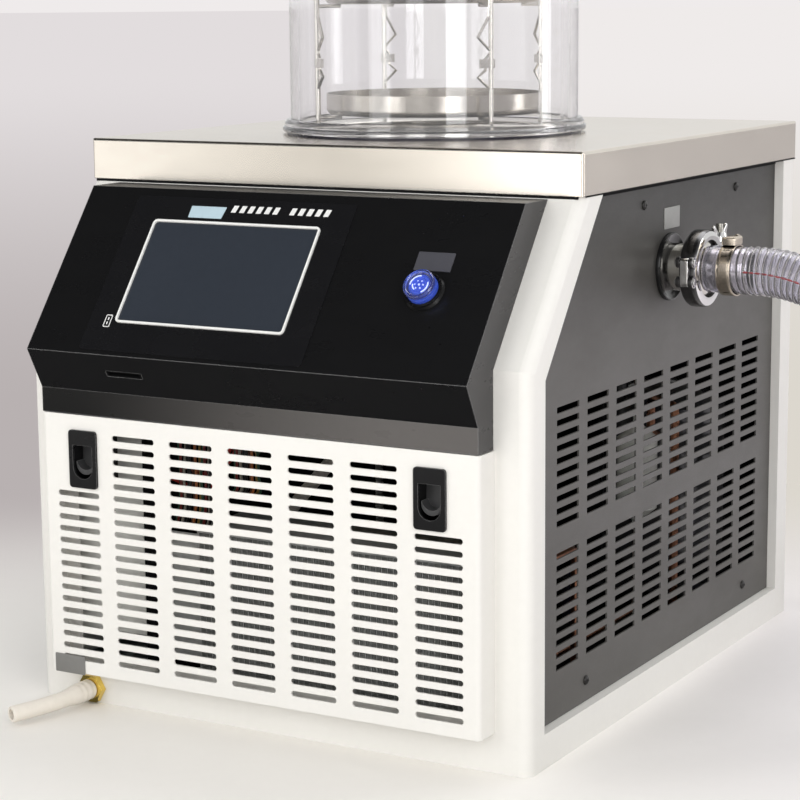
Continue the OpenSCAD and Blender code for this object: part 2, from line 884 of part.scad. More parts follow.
// Finned block with its end plates and return bends
module condenser_coil() {
    fin_pitch = 5.3;
    w = cond_x1 - cond_x0;
    h = cond_z1 - cond_z0;
    end_t = 2;
    color([0.6, 0.6, 0.6]) from_front() {
        translate([0, 0, cond_z0 + 4]) linear_extrude(h - 8) union() {
            translate([cond_x0, cond_y0 + 14]) square([w, 12]);
            for (x = [cond_x0 + fin_pitch : fin_pitch : cond_x1 - fin_pitch])
                translate([x, cond_y0 + 2]) square([1, 36]);
        }
        for (x = [cond_x0, cond_x1 - end_t]) translate([x, cond_y0, 2])
            cube([end_t, cond_y1 - cond_y0, cond_z1 - 2]);
        translate([cond_x0, cond_y0, cond_z1 - 4]) cube([w, cond_y1 - cond_y0, 4]);
        translate([cond_x0, cond_y0, cond_z0]) cube([w, cond_y1 - cond_y0, 4]);
        for (k = [0:2], x = [-1, 1]) translate([x > 0 ? cond_x1 : cond_x0, 36, 64 + k * 28])
            rotate([90, 0, x * 90]) rotate_extrude(angle = 180) translate([7, 0]) circle(3.5, $fn = 24);
    }
}

// Duct behind the condenser with the fan's round throat and its three-armed motor bracket
module fan_shroud() {
    w = cond_x1 - cond_x0;
    y1 = 92;
    color([0.3, 0.3, 0.3]) from_front() {
        difference() {
            translate([cond_x0, cond_y1, 2]) cube([w, y1 - cond_y1, cond_z1 - 2]);
            translate([cond_x0 + 1.5, cond_y1 - past, 3.5]) cube([w - 3, 8, cond_z1 - 5]);
            translate([cond_x0 + 1.5, cond_y1 + 9, past])
                cube([w - 3, y1, cond_z1 - 1.5 - past]);
            translate([fan_x, 0, fan_z]) rotate([-90, 0, 0]) cylinder(r = 60, h = 200);
        }
        translate([fan_x, cond_y1 + 7, fan_z]) rotate([-90, 0, 0]) {
            ring(62, 60, y1 - cond_y1 - 7);
            translate([0, 0, y1 - cond_y1 - 10]) ring(30, 12, 3);
            for (a = [30, 150, 270]) rotate([0, 0, a]) translate([25, -5, y1 - cond_y1 - 10])
                cube([36, 10, 3]);
        }
    }
}

module fan_motor() {
    color([0.15, 0.15, 0.16]) from_front() translate([fan_x, 0, fan_z]) rotate([-90, 0, 0]) {
        translate([0, 0, 92]) cylinder(r = 26, h = 42);
        translate([0, 0, 134]) cylinder(r = 12, h = 8);
        translate([0, 0, 64]) cylinder(r = 3, h = 30);
    }
}

module fan_rotor() {
    blade_t = 1.6;
    color([0.2, 0.2, 0.2]) from_front() translate([fan_x, 65, fan_z]) rotate([-90, 0, 0])
        difference() {
            union() {
                cylinder(r = 16, h = 17);
                for (i = [0:4]) intersection() {
                    ring(56, 14, 17);
                    rotate([0, 0, i * 72]) translate([35, 0, 8.5]) rotate([28, 0, 0])
                        cube([60, 38, blade_t], center = true);
                }
            }
            translate([0, 0, -past]) cylinder(r = 3.05, h = 30);
        }
}

module compressor() {
    dome_r = 95;
    z0 = 48;
    z1 = 235;
    foot = 62;
    color([0.1, 0.1, 0.1]) from_front() translate([comp_x, comp_y, 0]) {
        rotate_extrude() intersection() {
            translate([0, z0]) square([comp_r, z1 - z0]);
            translate([0, z0 + dome_r]) circle(dome_r);
            translate([0, z1 - dome_r]) circle(dome_r);
        }
        translate([0, 0, 138]) cylinder(r = comp_r + 1.5, h = 6);
        difference() {
            translate([0, 0, 46]) plate(2 * foot + 26, 2 * foot + 26, 13, 4);
            for (x = [-1, 1], y = [-1, 1]) translate([x * foot, y * foot, 40]) cylinder(r = 6, h = 20);
        }
        translate([-28, -32, 200]) cylinder(r = 6, h = 45);
        translate([25, -73, 195]) rotate([-90, 0, 0]) cylinder(r = 5, h = 40);
        translate([-68, -20, 110]) cube([20, 40, 50]);
    }
}

// Rubber grommets on the base pan
module compressor_mounts() {
    foot = 62;
    color([0.08, 0.08, 0.08]) from_front() for (x = [-1, 1], y = [-1, 1])
        translate([comp_x + x * foot, comp_y + y * foot, 0]) rotate_extrude() union() {
            translate([0, 2]) square([12, 44]);
            square_neck(5.8, 46, 4.5);
            square_neck(9, 50.1, 4);
        }
}

module square_neck(r, z, h) {
    translate([0, z]) square([r, h]);
}

module refrigerant_lines() {
    bend_r = 10;
    color(copper) from_front() {
        swept(bent([
            [comp_x + 25, comp_y - 73, 195], [comp_x + 25, 386, 195], [comp_x + 25, 386, 232],
            [202, 355, 232], [202, 355, 22],
            [202, 150, 22], [202, 150, 146], [202, 26, 146], [cond_x1, 26, 146]
        ], bend_r, 3), 4);
        swept(bent([
            [cond_x1, 26, 44], [202, 26, 44], [202, 120, 44], [drier_x, 150, 44],
            [drier_x, drier_y, 44], [drier_x, drier_y, 118]
        ], bend_r, 3), 3.5);
        swept(bent([
            [drier_x, drier_y, 222], [drier_x, drier_y, 258], [coil_r, drum_y, 256],
            [coil_r, drum_y, leg_z]
        ], bend_r, 3), 2.5);
        swept(bent([
            [leg_r, drum_y, leg_z], [leg_r, drum_y, 240], [60, 394, 270],
            [comp_x - 28, comp_y - 32, 270], [comp_x - 28, comp_y - 32, 245]
        ], bend_r, 3), 5);
    }
}

module filter_drier() {
    r = 18;
    z0 = 118;
    z1 = 222;
    color(warm_white) from_front() translate([drier_x, drier_y, 0]) rotate_extrude()
        polygon([[0, z0], [4, z0], [4, z0 + 8], [r, z0 + 20], [r, z1 - 20], [4, z1 - 8], [4, z1], [0, z1]]);
}

// ---------------------------------------------------------------- vacuum port

module port_flange() {
    r = 28.8;
    color(satin_black) from_front() turned_x(port_y, port_z) difference() {
        union() {
            translate([pipe_r, panel_x]) square([r - pipe_r, 3]);
            translate([pipe_r, panel_x]) square([r - 1 - pipe_r, 4]);
        }
        translate([pipe_r - past, 0]) square([past, 300]);
    }
}

// Small-flange end: radius against x, its back face a 15 degree cone; dir is 1 where the sealing
// face looks towards -X and -1 where it looks towards +X
module kf_profile(face, dir, bore) {
    back = 3 + (kf_r - pipe_r) * tan(15);
    outline = [[bore, 0], [kf_r, 0], [kf_r, 3], [pipe_r, back], [bore, back]];
    flipped = [for (i = [len(outline) - 1:-1:0]) [outline[i][0], -outline[i][1]]];
    translate([0, face]) polygon(dir > 0 ? outline : flipped);
}

module port_pipe() {
    bore = pipe_r - 2;
    color(steel) from_front() difference() {
        turned_x(port_y, port_z) union() {
            translate([bore, 92]) square([pipe_r - bore, kf_face - 94]);
            kf_profile(kf_face, -1, bore);
        }
        translate([0, drum_y, port_z - 60]) cylinder(r = trap_r, h = 120);
    }
}

module centering_ring() {
    color(steel) from_front() turned_x(port_y, port_z) {
        translate([17, kf_face - 3]) square([0.9, adapter_face - kf_face + 6]);
        translate([17, kf_face]) square([6, adapter_face - kf_face]);
    }
}

module hose_adapter() {
    bore = 13;
    color(steel) from_front() turned_x(port_y, port_z) difference() {
        union() {
            kf_profile(adapter_face, 1, bore);
            translate([bore, adapter_face]) square([19.5 - bore, 13.5]);
            translate([bore, adapter_face]) square([15 - bore, adapter_end - adapter_face]);
            for (i = [0:3]) translate([bore, adapter_end - 25 + i * 6])
                polygon([[0, 0], [3.4, 0], [2, 5.5], [0, 5.5]]);
        }
        translate([0, adapter_face - past]) square([17.95, past + 3.05]);
    }
}

// One half of the clamp ring, with a groove that draws the two flanges together
module clamp_half(a0) {
    half_w = 8;
    cone = tan(15);
    edge = 3 + (adapter_face - kf_face) / 2;
    groove = [
        [pipe_r + 1, -half_w], [clamp_r, -half_w], [clamp_r, half_w], [pipe_r + 1, half_w],
        [pipe_r + 1, edge + (kf_r - pipe_r - 1) * cone], [kf_r + 0.2, edge + 0.05],
        [kf_r + 0.2, -edge - 0.05], [pipe_r + 1, -edge - (kf_r - pipe_r - 1) * cone]
    ];
    translate([clamp_x, port_y, port_z]) rotate([a0, 0, 0]) rotate([0, 90, 0])
        rotate_extrude(angle = 168) polygon(groove);
}

// Pair of ears on a clamp half, between which the bolt or the link stands
module clamp_ears(y, z, depth, h) {
    translate([clamp_x, y, z]) for (s = [-1, 1])
        translate([s * 5.75, 0, 0]) cube([3.5, depth, h], center = true);
}

module clamp_upper() {
    color(steel) from_front() {
        difference() {
            union() {
                clamp_half(96);
                clamp_ears(port_y + 36, port_z + 12, 16, 12);
                clamp_ears(port_y - clamp_r - 1, port_z + 8, 10, 9);
            }
            translate([clamp_x - 20, port_y - clamp_r - 2, port_z + 8]) rotate([0, 90, 0])
                cylinder(r = 1.6, h = 40);
        }
    }
}

module clamp_lower() {
    color(steel) from_front() {
        difference() {
            union() {
                clamp_half(-84);
                clamp_ears(port_y + 36, port_z - 15, 16, 16);
                clamp_ears(port_y - clamp_r - 1, port_z - 8, 10, 9);
            }
            translate([clamp_x - 20, port_y - clamp_r - 2, port_z - 8]) rotate([0, 90, 0])
                cylinder(r = 1.6, h = 40);
            translate([clamp_x - 20, bolt_y, port_z - 17]) rotate([0, 90, 0])
                cylinder(r = 2.5, h = 40);
        }
    }
}

// Link between the two halves, with its two pins
module clamp_link() {
    y = port_y - clamp_r - 2;
    color(steel) from_front() {
        translate([clamp_x - 3.5, y - 4, port_z - 12]) cube([7, 5.8, 24]);
        for (s = [-1, 1]) translate([clamp_x - 9, y, port_z + s * 8]) rotate([0, 90, 0])
            cylinder(r = 1.6, h = 18);
    }
}

// Swing bolt: cross pin in the lower ears, threaded shank between the ears of both halves
module clamp_bolt() {
    color(steel) from_front() translate([clamp_x, bolt_y, port_z]) {
        translate([-9, 0, -17]) rotate([0, 90, 0]) cylinder(r = 2.5, h = 18);
        translate([-3.2, -4, -22]) cube([6.4, 8, 10]);
        translate([0, 0, -16]) cylinder(r = bolt_r, h = 50);
    }
}

module wing_nut() {
    color(steel) from_front() translate([clamp_x, bolt_y, port_z + 18]) difference() {
        union() {
            cylinder(r1 = 7.5, r2 = 6, h = 9);
            for (s = [-1, 1]) rotate([0, 0, 90 + 90 * s]) along_x(-1.5, 1.5) wing_2d();
        }
        translate([0, 0, -past]) cylinder(r = bolt_r + 0.05, h = 20);
    }
}

module wing_2d() {
    difference() {
        union() {
            translate([3.5, 1]) square([6, 7]);
            translate([10, 9.5]) circle(5.5);
        }
        translate([0, 16]) circle(6);
    }
}

module hose_band() {
    color(steel) from_front() {
        turned_x(port_y, port_z) translate([hose_r, band_x]) square([1.2, 12]);
        translate([band_x, port_y - 9, port_z + hose_r + 1]) cube([12, 18, 7]);
        translate([band_x + 6, port_y + 9, port_z + hose_r + 5]) rotate([-90, 0, 0])
            cylinder(r = 3.4, h = 6);
    }
}

module vacuum_hose() {
    color([0.85, 0.85, 0.82]) swept(hose_pts, hose_r, 12);
}

// Pump-side end of the hose: barb in the hose, collar and small flange
module hose_end_fitting() {
    tip = hose_pts[len(hose_pts) - 1];
    barb_l = 28;
    face = 24;
    color(steel) translate(tip) rotate([0, -90, 0]) rotate_extrude() difference() {
        union() {
            translate([0, -barb_l]) square([15.6, barb_l]);
            square([19.5, face - 5]);
            kf_profile(face, -1, 0);
        }
        translate([-past, face - end_bore_l]) square([end_bore_r + past, end_bore_l + past]);
    }
}

// ---------------------------------------------------------------- drain

module drain_fitting() {
    hex_r = 13;
    bore = 2.5;
    color(brass) from_front() translate([drain_x, 0, drain_z]) rotate([90, 0, 0]) difference() {
        union() {
            cylinder(r = hex_r, h = 6, $fn = 6);
            translate([0, 0, -12]) cylinder(r = 6.4, h = 14);
            for (i = [0:2]) translate([0, 0, 6 + i * 6]) cylinder(r1 = 5.6, r2 = 4.4, h = 6);
        }
        translate([0, 0, -20]) cylinder(r = bore, h = 60);
    }
}

module drain_tube() {
    color([0.9, 0.88, 0.85]) swept(drain_pts, drain_r, 10);
}

// ---------------------------------------------------------------- nodes

cabinet_frame();
base_pan();
left_side_panel();
right_side_panel();
side_panel_screws();
rear_panel();
rear_panel_screws();
front_cover();
latch_housing(-1);  // latch_housing_left
latch_housing(1);  // latch_housing_right
latch_slide(-1);  // latch_slide_left
latch_slide(1);  // latch_slide_right
console_cover();
console_overlay();
screen_bezel();
touch_screen();
lamp_bezel();
lamp_lens();
usb_socket();
electrical_box();
mains_inlet();
wiring_loom();
steel_top();
cold_trap();
trap_floor();
trap_coil();
trap_insulation();
drain_line();
seal_ring();
drum_flange();
drum_tube();
drum_top();
rack_rings();
rack_posts();
tray(0);  // tray_1
tray(1);  // tray_2
tray(2);  // tray_3
tray(3);  // tray_4
condenser_coil();
fan_shroud();
fan_motor();
fan_rotor();
compressor();
compressor_mounts();
refrigerant_lines();
filter_drier();
port_flange();
port_pipe();
centering_ring();
clamp_upper();
clamp_lower();
clamp_link();
clamp_bolt();
wing_nut();
hose_adapter();
hose_band();
vacuum_hose();
hose_end_fitting();
drain_fitting();
drain_tube();
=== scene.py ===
"""Visual model of a benchtop freeze dryer, dressed round its packed construction frame.

Everything is in metres and in the frame's own axes: X to the right, Y to the back and Z up, with
the origin at the centre of the underside. Each sub-assembly is a class that makes its pieces and
gives them their finishes; the construction nodes keep their shapes and only get finishes.
"""

import json
import logging
import math
from collections.abc import Callable, Iterator, Sequence
from contextlib import contextmanager
from dataclasses import dataclass
from enum import Enum

import bmesh
import bpy
from mathutils import Matrix, Vector

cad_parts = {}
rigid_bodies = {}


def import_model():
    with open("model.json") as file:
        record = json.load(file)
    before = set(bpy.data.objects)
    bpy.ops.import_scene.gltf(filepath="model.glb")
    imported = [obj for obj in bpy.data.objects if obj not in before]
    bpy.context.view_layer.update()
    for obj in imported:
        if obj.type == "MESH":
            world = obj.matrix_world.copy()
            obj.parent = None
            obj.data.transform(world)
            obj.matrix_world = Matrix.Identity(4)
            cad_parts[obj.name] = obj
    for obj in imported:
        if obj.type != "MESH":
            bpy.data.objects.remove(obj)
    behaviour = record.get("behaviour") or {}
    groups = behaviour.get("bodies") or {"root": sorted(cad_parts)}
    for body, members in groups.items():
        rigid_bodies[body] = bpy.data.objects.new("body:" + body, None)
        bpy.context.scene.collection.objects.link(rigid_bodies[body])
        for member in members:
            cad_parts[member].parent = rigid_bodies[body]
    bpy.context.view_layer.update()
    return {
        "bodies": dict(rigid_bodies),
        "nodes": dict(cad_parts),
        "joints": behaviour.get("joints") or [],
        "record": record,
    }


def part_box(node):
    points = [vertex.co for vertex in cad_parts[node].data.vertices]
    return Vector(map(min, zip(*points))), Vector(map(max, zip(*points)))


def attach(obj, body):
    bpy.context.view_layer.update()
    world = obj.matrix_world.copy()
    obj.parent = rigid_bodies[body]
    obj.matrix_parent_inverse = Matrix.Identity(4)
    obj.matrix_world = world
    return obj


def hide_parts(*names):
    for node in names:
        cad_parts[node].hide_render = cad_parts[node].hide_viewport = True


LOG = logging.getLogger("freeze_dryer")
CABINET = "cabinet"
MM = 0.001
WELD = 1e-6  # metres within which points are merged
ORIGIN = (0, 0, 0)

Colour = tuple[float, float, float]
Point = tuple[float, float, float]
Piece = bpy.types.Object
Socket = bpy.types.NodeSocket
NodeTree = bpy.types.NodeTree


def millimetres(*values: float) -> Vector:
    """Vector in metres from values in millimetres."""
    return Vector([v * MM for v in values])


def paint(red: int, green: int, blue: int) -> Colour:
    """Linear colour of a swatch given as display values from 0 to 255.

    Args:
        red, green, blue: the display values.

    Returns:
        The linear colour.
    """
    return tuple(
        ((c / 255 + 0.055) / 1.055) ** 2.4 if c > 10 else c / 3294.6 for c in (red, green, blue)
    )


# ---------------------------------------------------------------- shader effects


class Desk:
    """Adds nodes to one node tree and links them."""

    def __init__(self, tree: NodeTree) -> None:
        """Keeps the tree that the nodes go into."""
        self.tree = tree

    def add(self, kind: str, inputs: dict | None = None, **settings: object) -> bpy.types.Node:
        """Adds a node.

        Args:
            kind: the node's type, without the ShaderNode prefix.
            inputs: a value or an output socket for each input, by name or number.
            settings: the node's own properties.

        Returns:
            The new node.
        """
        node = self.tree.nodes.new("ShaderNode" + kind)
        for key, value in settings.items():
            setattr(node, key, value)
        for name, value in (inputs or {}).items():
            self.feed(node.inputs[name], value)
        return node

    def feed(self, socket: Socket, value: object) -> None:
        """Links an output to the socket, or sets the socket's own value.

        Args:
            socket: the input.
            value: an output socket, a colour, a number or a vector.
        """
        if isinstance(value, Socket):
            self.tree.links.new(value, socket)
        elif isinstance(value, tuple) and len(value) == 3 and socket.type == "RGBA":
            socket.default_value = (*value, 1)
        else:
            socket.default_value = value

    def math(self, operation: str, *values: object, clamp: bool = False) -> Socket:
        """Output of a Math node."""
        node = self.add("Math", dict(enumerate(values)), operation=operation, use_clamp=clamp)
        return node.outputs[0]

    def stretch(self, place: object, scale: object) -> Socket:
        """Coordinates multiplied by a vector."""
        return self.add("VectorMath", {0: place, 1: scale}, operation="MULTIPLY").outputs[0]

    def noise(self, place: object, scale: object, detail: float = 3, rough: float = 0.55) -> Socket:
        """Value of a noise texture, about 0.5 on average."""
        inputs = {"Vector": place, "Scale": scale, "Detail": detail, "Roughness": rough}
        return self.add("TexNoise", inputs).outputs["Fac"]

    def ramp(
        self, value: object, low: object, high: object, to_low: object = 0.0, to_high: object = 1.0
    ) -> Socket:
        """Value mapped from one range to another, and held at its ends."""
        inputs = {"Value": value, "From Min": low, "From Max": high, "To Min": to_low, "To Max": to_high}
        return self.add("MapRange", inputs, interpolation_type="SMOOTHSTEP").outputs["Result"]

    def mix(self, factor: object, first: object, second: object, blend: str = "MIX") -> Socket:
        """Mix of two colours."""
        node = self.add("Mix", {0: factor, 6: first, 7: second}, data_type="RGBA", blend_type=blend)
        return node.outputs[2]


class Effect:
    """Shader node groups that many finishes share, each built once when it is first used."""

    built: dict[str, NodeTree] = {}

    @classmethod
    def group(cls, name: str, inputs: dict, outputs: dict, fill: Callable) -> NodeTree:
        """Builds a node group, or finds it again.

        Args:
            name: the group's name.
            inputs: the socket type and default value of each input.
            outputs: the socket type of each output.
            fill: makes the nodes from the desk and the group's inputs, and returns its outputs by name.

        Returns:
            The node group.
        """
        if name in cls.built:
            return cls.built[name]
        tree = bpy.data.node_groups.new(name, "ShaderNodeTree")
        for key, (kind, value) in inputs.items():
            socket = tree.interface.new_socket(key, in_out="INPUT", socket_type="NodeSocket" + kind)
            socket.default_value = value
        for key, kind in outputs.items():
            tree.interface.new_socket(key, in_out="OUTPUT", socket_type="NodeSocket" + kind)
        desk = Desk(tree)
        source = tree.nodes.new("NodeGroupInput").outputs
        sink = tree.nodes.new("NodeGroupOutput").inputs
        for key, value in fill(desk, source).items():
            desk.feed(sink[key], value)
        cls.built[name] = tree
        return tree

    @classmethod
    def tone(cls) -> NodeTree:
        """Slow cloudy change of lightness over a surface, with a finer mottle in it."""

        def fill(desk: Desk, given: bpy.types.NodeInputs) -> dict:
            """Darkens and lightens the colour by two noises."""
            place = desk.add("TexCoord").outputs["Object"]
            clouds = desk.noise(place, given["Scale"], 4)
            mottle = desk.noise(place, desk.math("MULTIPLY", given["Scale"], 23.0), 2)
            both = desk.math("MULTIPLY_ADD", mottle, 0.35, desk.math("MULTIPLY", clouds, 0.65))
            low = desk.math("SUBTRACT", 1.0, given["Amount"])
            high = desk.math("MULTIPLY_ADD", given["Amount"], 0.45, 1.0)
            value = desk.ramp(both, 0.3, 0.7, low, high)
            inputs = {"Value": value, "Color": given["Color"]}
            return {"Color": desk.add("HueSaturation", inputs).outputs[0]}

        inputs = {"Color": ("Color", (1, 1, 1, 1)), "Amount": ("Float", 0.05), "Scale": ("Float", 6.0)}
        return cls.group("cloudy_tone", inputs, {"Color": "Color"}, fill)

    @classmethod
    def grain(cls) -> NodeTree:
        """Even relief at one scale, drawn out along an axis where the stretch isn't uniform."""

        def fill(desk: Desk, given: bpy.types.NodeInputs) -> dict:
            """Adds a fine noise to a coarse one."""
            place = desk.stretch(desk.add("TexCoord").outputs["Object"], given["Stretch"])
            coarse = desk.noise(place, given["Scale"], 2)
            fine = desk.noise(place, desk.math("MULTIPLY", given["Scale"], 3.1), 2)
            return {"Height": desk.math("MULTIPLY_ADD", fine, 0.4, desk.math("MULTIPLY", coarse, 0.6))}

        inputs = {"Scale": ("Float", 600.0), "Stretch": ("Vector", (1, 1, 1))}
        return cls.group("surface_grain", inputs, {"Height": "Float"}, fill)

    @classmethod
    def hairlines(cls) -> NodeTree:
        """Mask of fine handling scratches that run two ways and gather in patches."""

        def fill(desk: Desk, given: bpy.types.NodeInputs) -> dict:
            """Keeps the crests of two stretched noises, where a third one lets them through."""
            place = desk.add("TexCoord").outputs["Object"]
            lines = None
            for turn in ((0.3, 0.5, 0.9), (1.1, -0.4, -0.6)):
                turned = desk.add("Mapping", {"Vector": place, "Rotation": turn, "Scale": (1, 38, 38)})
                one = desk.noise(turned.outputs[0], given["Scale"], 1)
                one = desk.ramp(one, desk.math("SUBTRACT", 0.8, given["Density"]), 0.86)
                lines = one if lines is None else desk.math("MAXIMUM", lines, one)
            patches = desk.ramp(desk.noise(place, 9.0, 2), 0.46, 0.62)
            return {"Mask": desk.math("MULTIPLY", lines, patches)}

        inputs = {"Scale": ("Float", 30.0), "Density": ("Float", 0.1)}
        return cls.group("hairline_scratches", inputs, {"Mask": "Float"}, fill)

    @classmethod
    def specks(cls) -> NodeTree:
        """Mask of small scattered dots, such as dust nibs, pores or flakes."""

        def fill(desk: Desk, given: bpy.types.NodeInputs) -> dict:
            """Draws a dot in each chosen cell."""
            place = desk.add("TexCoord").outputs["Object"]
            cells = desk.add("TexVoronoi", {"Vector": place, "Scale": given["Scale"]})
            chance = desk.add("SeparateColor", {0: cells.outputs["Color"]}).outputs[0]
            chosen = desk.math("LESS_THAN", chance, given["Density"])
            dot = desk.ramp(cells.outputs["Distance"], 0.12, 0.3, 1.0, 0.0)
            return {"Mask": desk.math("MULTIPLY", dot, chosen)}

        inputs = {"Scale": ("Float", 400.0), "Density": ("Float", 0.1)}
        return cls.group("scattered_specks", inputs, {"Mask": "Float"}, fill)

    @classmethod
    def wiped(cls) -> NodeTree:
        """Roughness that changes in soft smears, as on a surface that is wiped by hand."""

        def fill(desk: Desk, given: bpy.types.NodeInputs) -> dict:
            """Moves the roughness by a slow noise."""
            place = desk.stretch(desk.add("TexCoord").outputs["Object"], (1.0, 1.0, 2.4))
            smears = desk.noise(place, 17.0, 4, 0.6)
            low = desk.math("SUBTRACT", given["Roughness"], given["Spread"])
            high = desk.math("ADD", given["Roughness"], given["Spread"])
            return {"Roughness": desk.ramp(smears, 0.25, 0.75, low, high)}

        inputs = {"Roughness": ("Float", 0.4), "Spread": ("Float", 0.05)}
        return cls.group("wiped_gloss", inputs, {"Roughness": "Float"}, fill)


class Grain(Enum):
    """Relief that a surface has, as the noise scale per metre and its stretch along X, Y and Z."""

    SPRAYED = (420.0, (1, 1, 1))
    TEXTURED = (1500.0, (1, 1, 1))
    MOULDED = (2600.0, (1, 1, 1))
    BRUSHED_ACROSS = (800.0, (0.02, 1, 1))
    BRUSHED_UP = (800.0, (1, 1, 0.02))
    TURNED = (900.0, (1, 1, 1))
    CAST = (700.0, (1, 1, 1))
    FOAM = (260.0, (1, 1, 1))
    SPANGLE = (120.0, (1, 1, 1))


# ---------------------------------------------------------------- finishes


@dataclass(frozen=True)
class Finish:
    """Procedural finish of one kind of surface.

    Args:
        name: the material's name.
        colour: linear base colour.
        roughness: mean roughness.
        grain: kind of relief.
        relief: height of the relief in millimetres.
        metallic: 1 for bare metal.
        tone: how far the lightness wanders.
        spread: how far the roughness wanders.
        scratches: density of handling scratches.
        nibs: share of the specks that show.
        nib_tint: what the specks turn the colour towards.
        edge: radius in millimetres that edges are shaded with.
        coat: weight of a clear coat.
        shine: level of the plain reflection.
        depth: depth of the scratches against the relief.
        edge_highlight: how far rounded edges turn lighter, as a painted highlight.
        crevice_shade: depth in millimetres of the corners that turn dark, as painted shade.
    """

    name: str
    colour: Colour
    roughness: float
    grain: Grain = Grain.MOULDED
    relief: float = 0.02
    metallic: float = 0.0
    tone: float = 0.05
    spread: float = 0.05
    scratches: float = 0.05
    nibs: float = 0.0
    nib_tint: Colour = (0.5, 0.5, 0.5)
    edge: float = 0.4
    coat: float = 0.0
    shine: float = 0.5
    depth: float = 0.35
    edge_highlight: float = 0.0
    crevice_shade: float = 0.0

    def material(self) -> bpy.types.Material:
        """The finish's material, built when it is first asked for."""
        known = bpy.data.materials.get("dressed_" + self.name)
        return known or self.build()

    def build(self) -> bpy.types.Material:
        """Builds the material."""
        made = bpy.data.materials.new("dressed_" + self.name)
        made.use_nodes = True
        desk = Desk(made.node_tree)
        shader = made.node_tree.nodes["Principled BSDF"]
        self.shade(desk, shader)
        return made

    def tint(self, desk: Desk) -> object:
        """The base colour before it is mottled, specked and given its painted edge highlights and painted
        crevice shade.
        """
        return self.colour

    def shade(self, desk: Desk, shader: bpy.types.Node) -> None:
        """Feeds the shader's colour, roughness and normal.

        Args:
            desk: adds the nodes.
            shader: the material's Principled BSDF.
        """
        colour = self.effect(desk, Effect.tone(), Color=self.tint(desk), Amount=self.tone, Scale=7.0)
        gloss = self.effect(desk, Effect.wiped(), Roughness=self.roughness, Spread=self.spread)
        scale, stretch = self.grain.value
        height = self.effect(desk, Effect.grain(), Scale=scale, Stretch=stretch)
        if self.nibs:
            dots = self.effect(desk, Effect.specks(), Scale=scale * 0.8, Density=self.nibs)
            colour = desk.mix(dots, colour, self.nib_tint)
            height = desk.math("MULTIPLY_ADD", dots, 0.5, height)
        if self.scratches:
            lines = self.effect(desk, Effect.hairlines(), Scale=30.0, Density=self.scratches)
            gloss = desk.math("MULTIPLY_ADD", lines, 0.16, gloss)
            height = desk.math("MULTIPLY_ADD", lines, -self.depth, height)
        bump = desk.add("Bump", {"Height": height, "Distance": self.relief * MM, "Strength": 1.0})
        if self.edge:
            rounded = desk.add("Bevel", {"Radius": self.edge * MM}, samples=3)
            desk.feed(bump.inputs["Normal"], rounded.outputs[0])
            # Painted highlight: rounded edges are mixed towards grey.
            if self.edge_highlight:
                flat = desk.add("NewGeometry").outputs["True Normal"]
                agree = desk.add(
                    "VectorMath", {0: flat, 1: rounded.outputs[0]}, operation="DOT_PRODUCT"
                ).outputs["Value"]
                colour = desk.mix(desk.ramp(agree, 0.97, 0.85, 0.0, self.edge_highlight), colour, (0.3, 0.3, 0.3))
        # Painted shade: ambient occlusion darkens corners and crevices towards near black.
        if self.crevice_shade:
            open_sky = desk.add(
                "AmbientOcclusion", {"Distance": self.crevice_shade * MM}, samples=4
            ).outputs["AO"]
            colour = desk.mix(desk.ramp(open_sky, 0.35, 0.9), (0.02, 0.02, 0.022), colour)
        desk.feed(shader.inputs["Base Color"], colour)
        desk.feed(shader.inputs["Roughness"], gloss)
        desk.feed(shader.inputs["Normal"], bump.outputs[0])
        shader.inputs["Metallic"].default_value = self.metallic
        shader.inputs["Specular IOR Level"].default_value = self.shine
        shader.inputs["Coat Weight"].default_value = self.coat
        shader.inputs["Coat Roughness"].default_value = 0.08

    @staticmethod
    def effect(desk: Desk, group: NodeTree, **values: object) -> Socket:
        """Places an effect group and returns its first output.

        Args:
            desk: adds the node.
            group: the effect.
            values: a value or an output for each input.

        Returns:
            The group's first output.
        """
        node = desk.add("Group", node_tree=group)
        for key, value in values.items():
            desk.feed(node.inputs[key], value)
        return node.outputs[0]


@dataclass(frozen=True)
class CoverFinish(Finish):
    """Lacquer of the console cover, with painted light: a painted sheen along its upright lip, paler to
    the right, and painted light on its end faces.

    Args:
        lip: colours of the painted sheen on the lip at its left end and its right end.
        end: colour of the end faces, which holds painted light.
        half: half the cover's length in metres.
    """

    lip: tuple[Colour, Colour] = (paint(8, 8, 8), paint(94, 91, 89))
    end: Colour = paint(70, 69, 69)
    half: float = 0.19

    def tint(self, desk: Desk) -> object:
        """Mixes the three colours by the way each face faces, which paints light on the lip and the ends.

        Args:
            desk: adds the nodes.

        Returns:
            Output with the mixed colour.
        """
        place = desk.add("SeparateXYZ", {0: desk.add("TexCoord").outputs["Object"]}).outputs[0]
        facing = desk.add("SeparateXYZ", {0: desk.add("NewGeometry").outputs["True Normal"]}).outputs
        # Painted sheen on the upright lip, dark at the left end and paler at the right; painted light on
        # the end faces.
        along = desk.mix(desk.ramp(place, -self.half, self.half * 0.8), *self.lip)
        forward = desk.ramp(desk.math("MULTIPLY", facing[1], -1.0), 0.97, 0.998)
        aside = desk.ramp(desk.math("ABSOLUTE", facing[0]), 0.9, 0.99)
        return desk.mix(aside, desk.mix(forward, self.colour, along), self.end)


@dataclass(frozen=True)
class PanelFinish(Finish):
    """Powder coat that is darker towards the top of the panel, as painted light: the floor's light
    painted on the lower part and painted shade at the top.

    Args:
        upper: colour at the top, darkened as painted shade.
        rise: heights in metres between which the colour changes.
    """

    upper: Colour = paint(44, 43, 41)
    rise: tuple[float, float] = (0.28, 0.46)

    def tint(self, desk: Desk) -> object:
        """Mixes the two colours by height, which paints shade on the top and the floor's light on the
        lower part.
        """
        height = desk.add("SeparateXYZ", {0: desk.add("TexCoord").outputs["Object"]}).outputs[2]
        return desk.mix(desk.ramp(height, *self.rise), self.colour, self.upper)


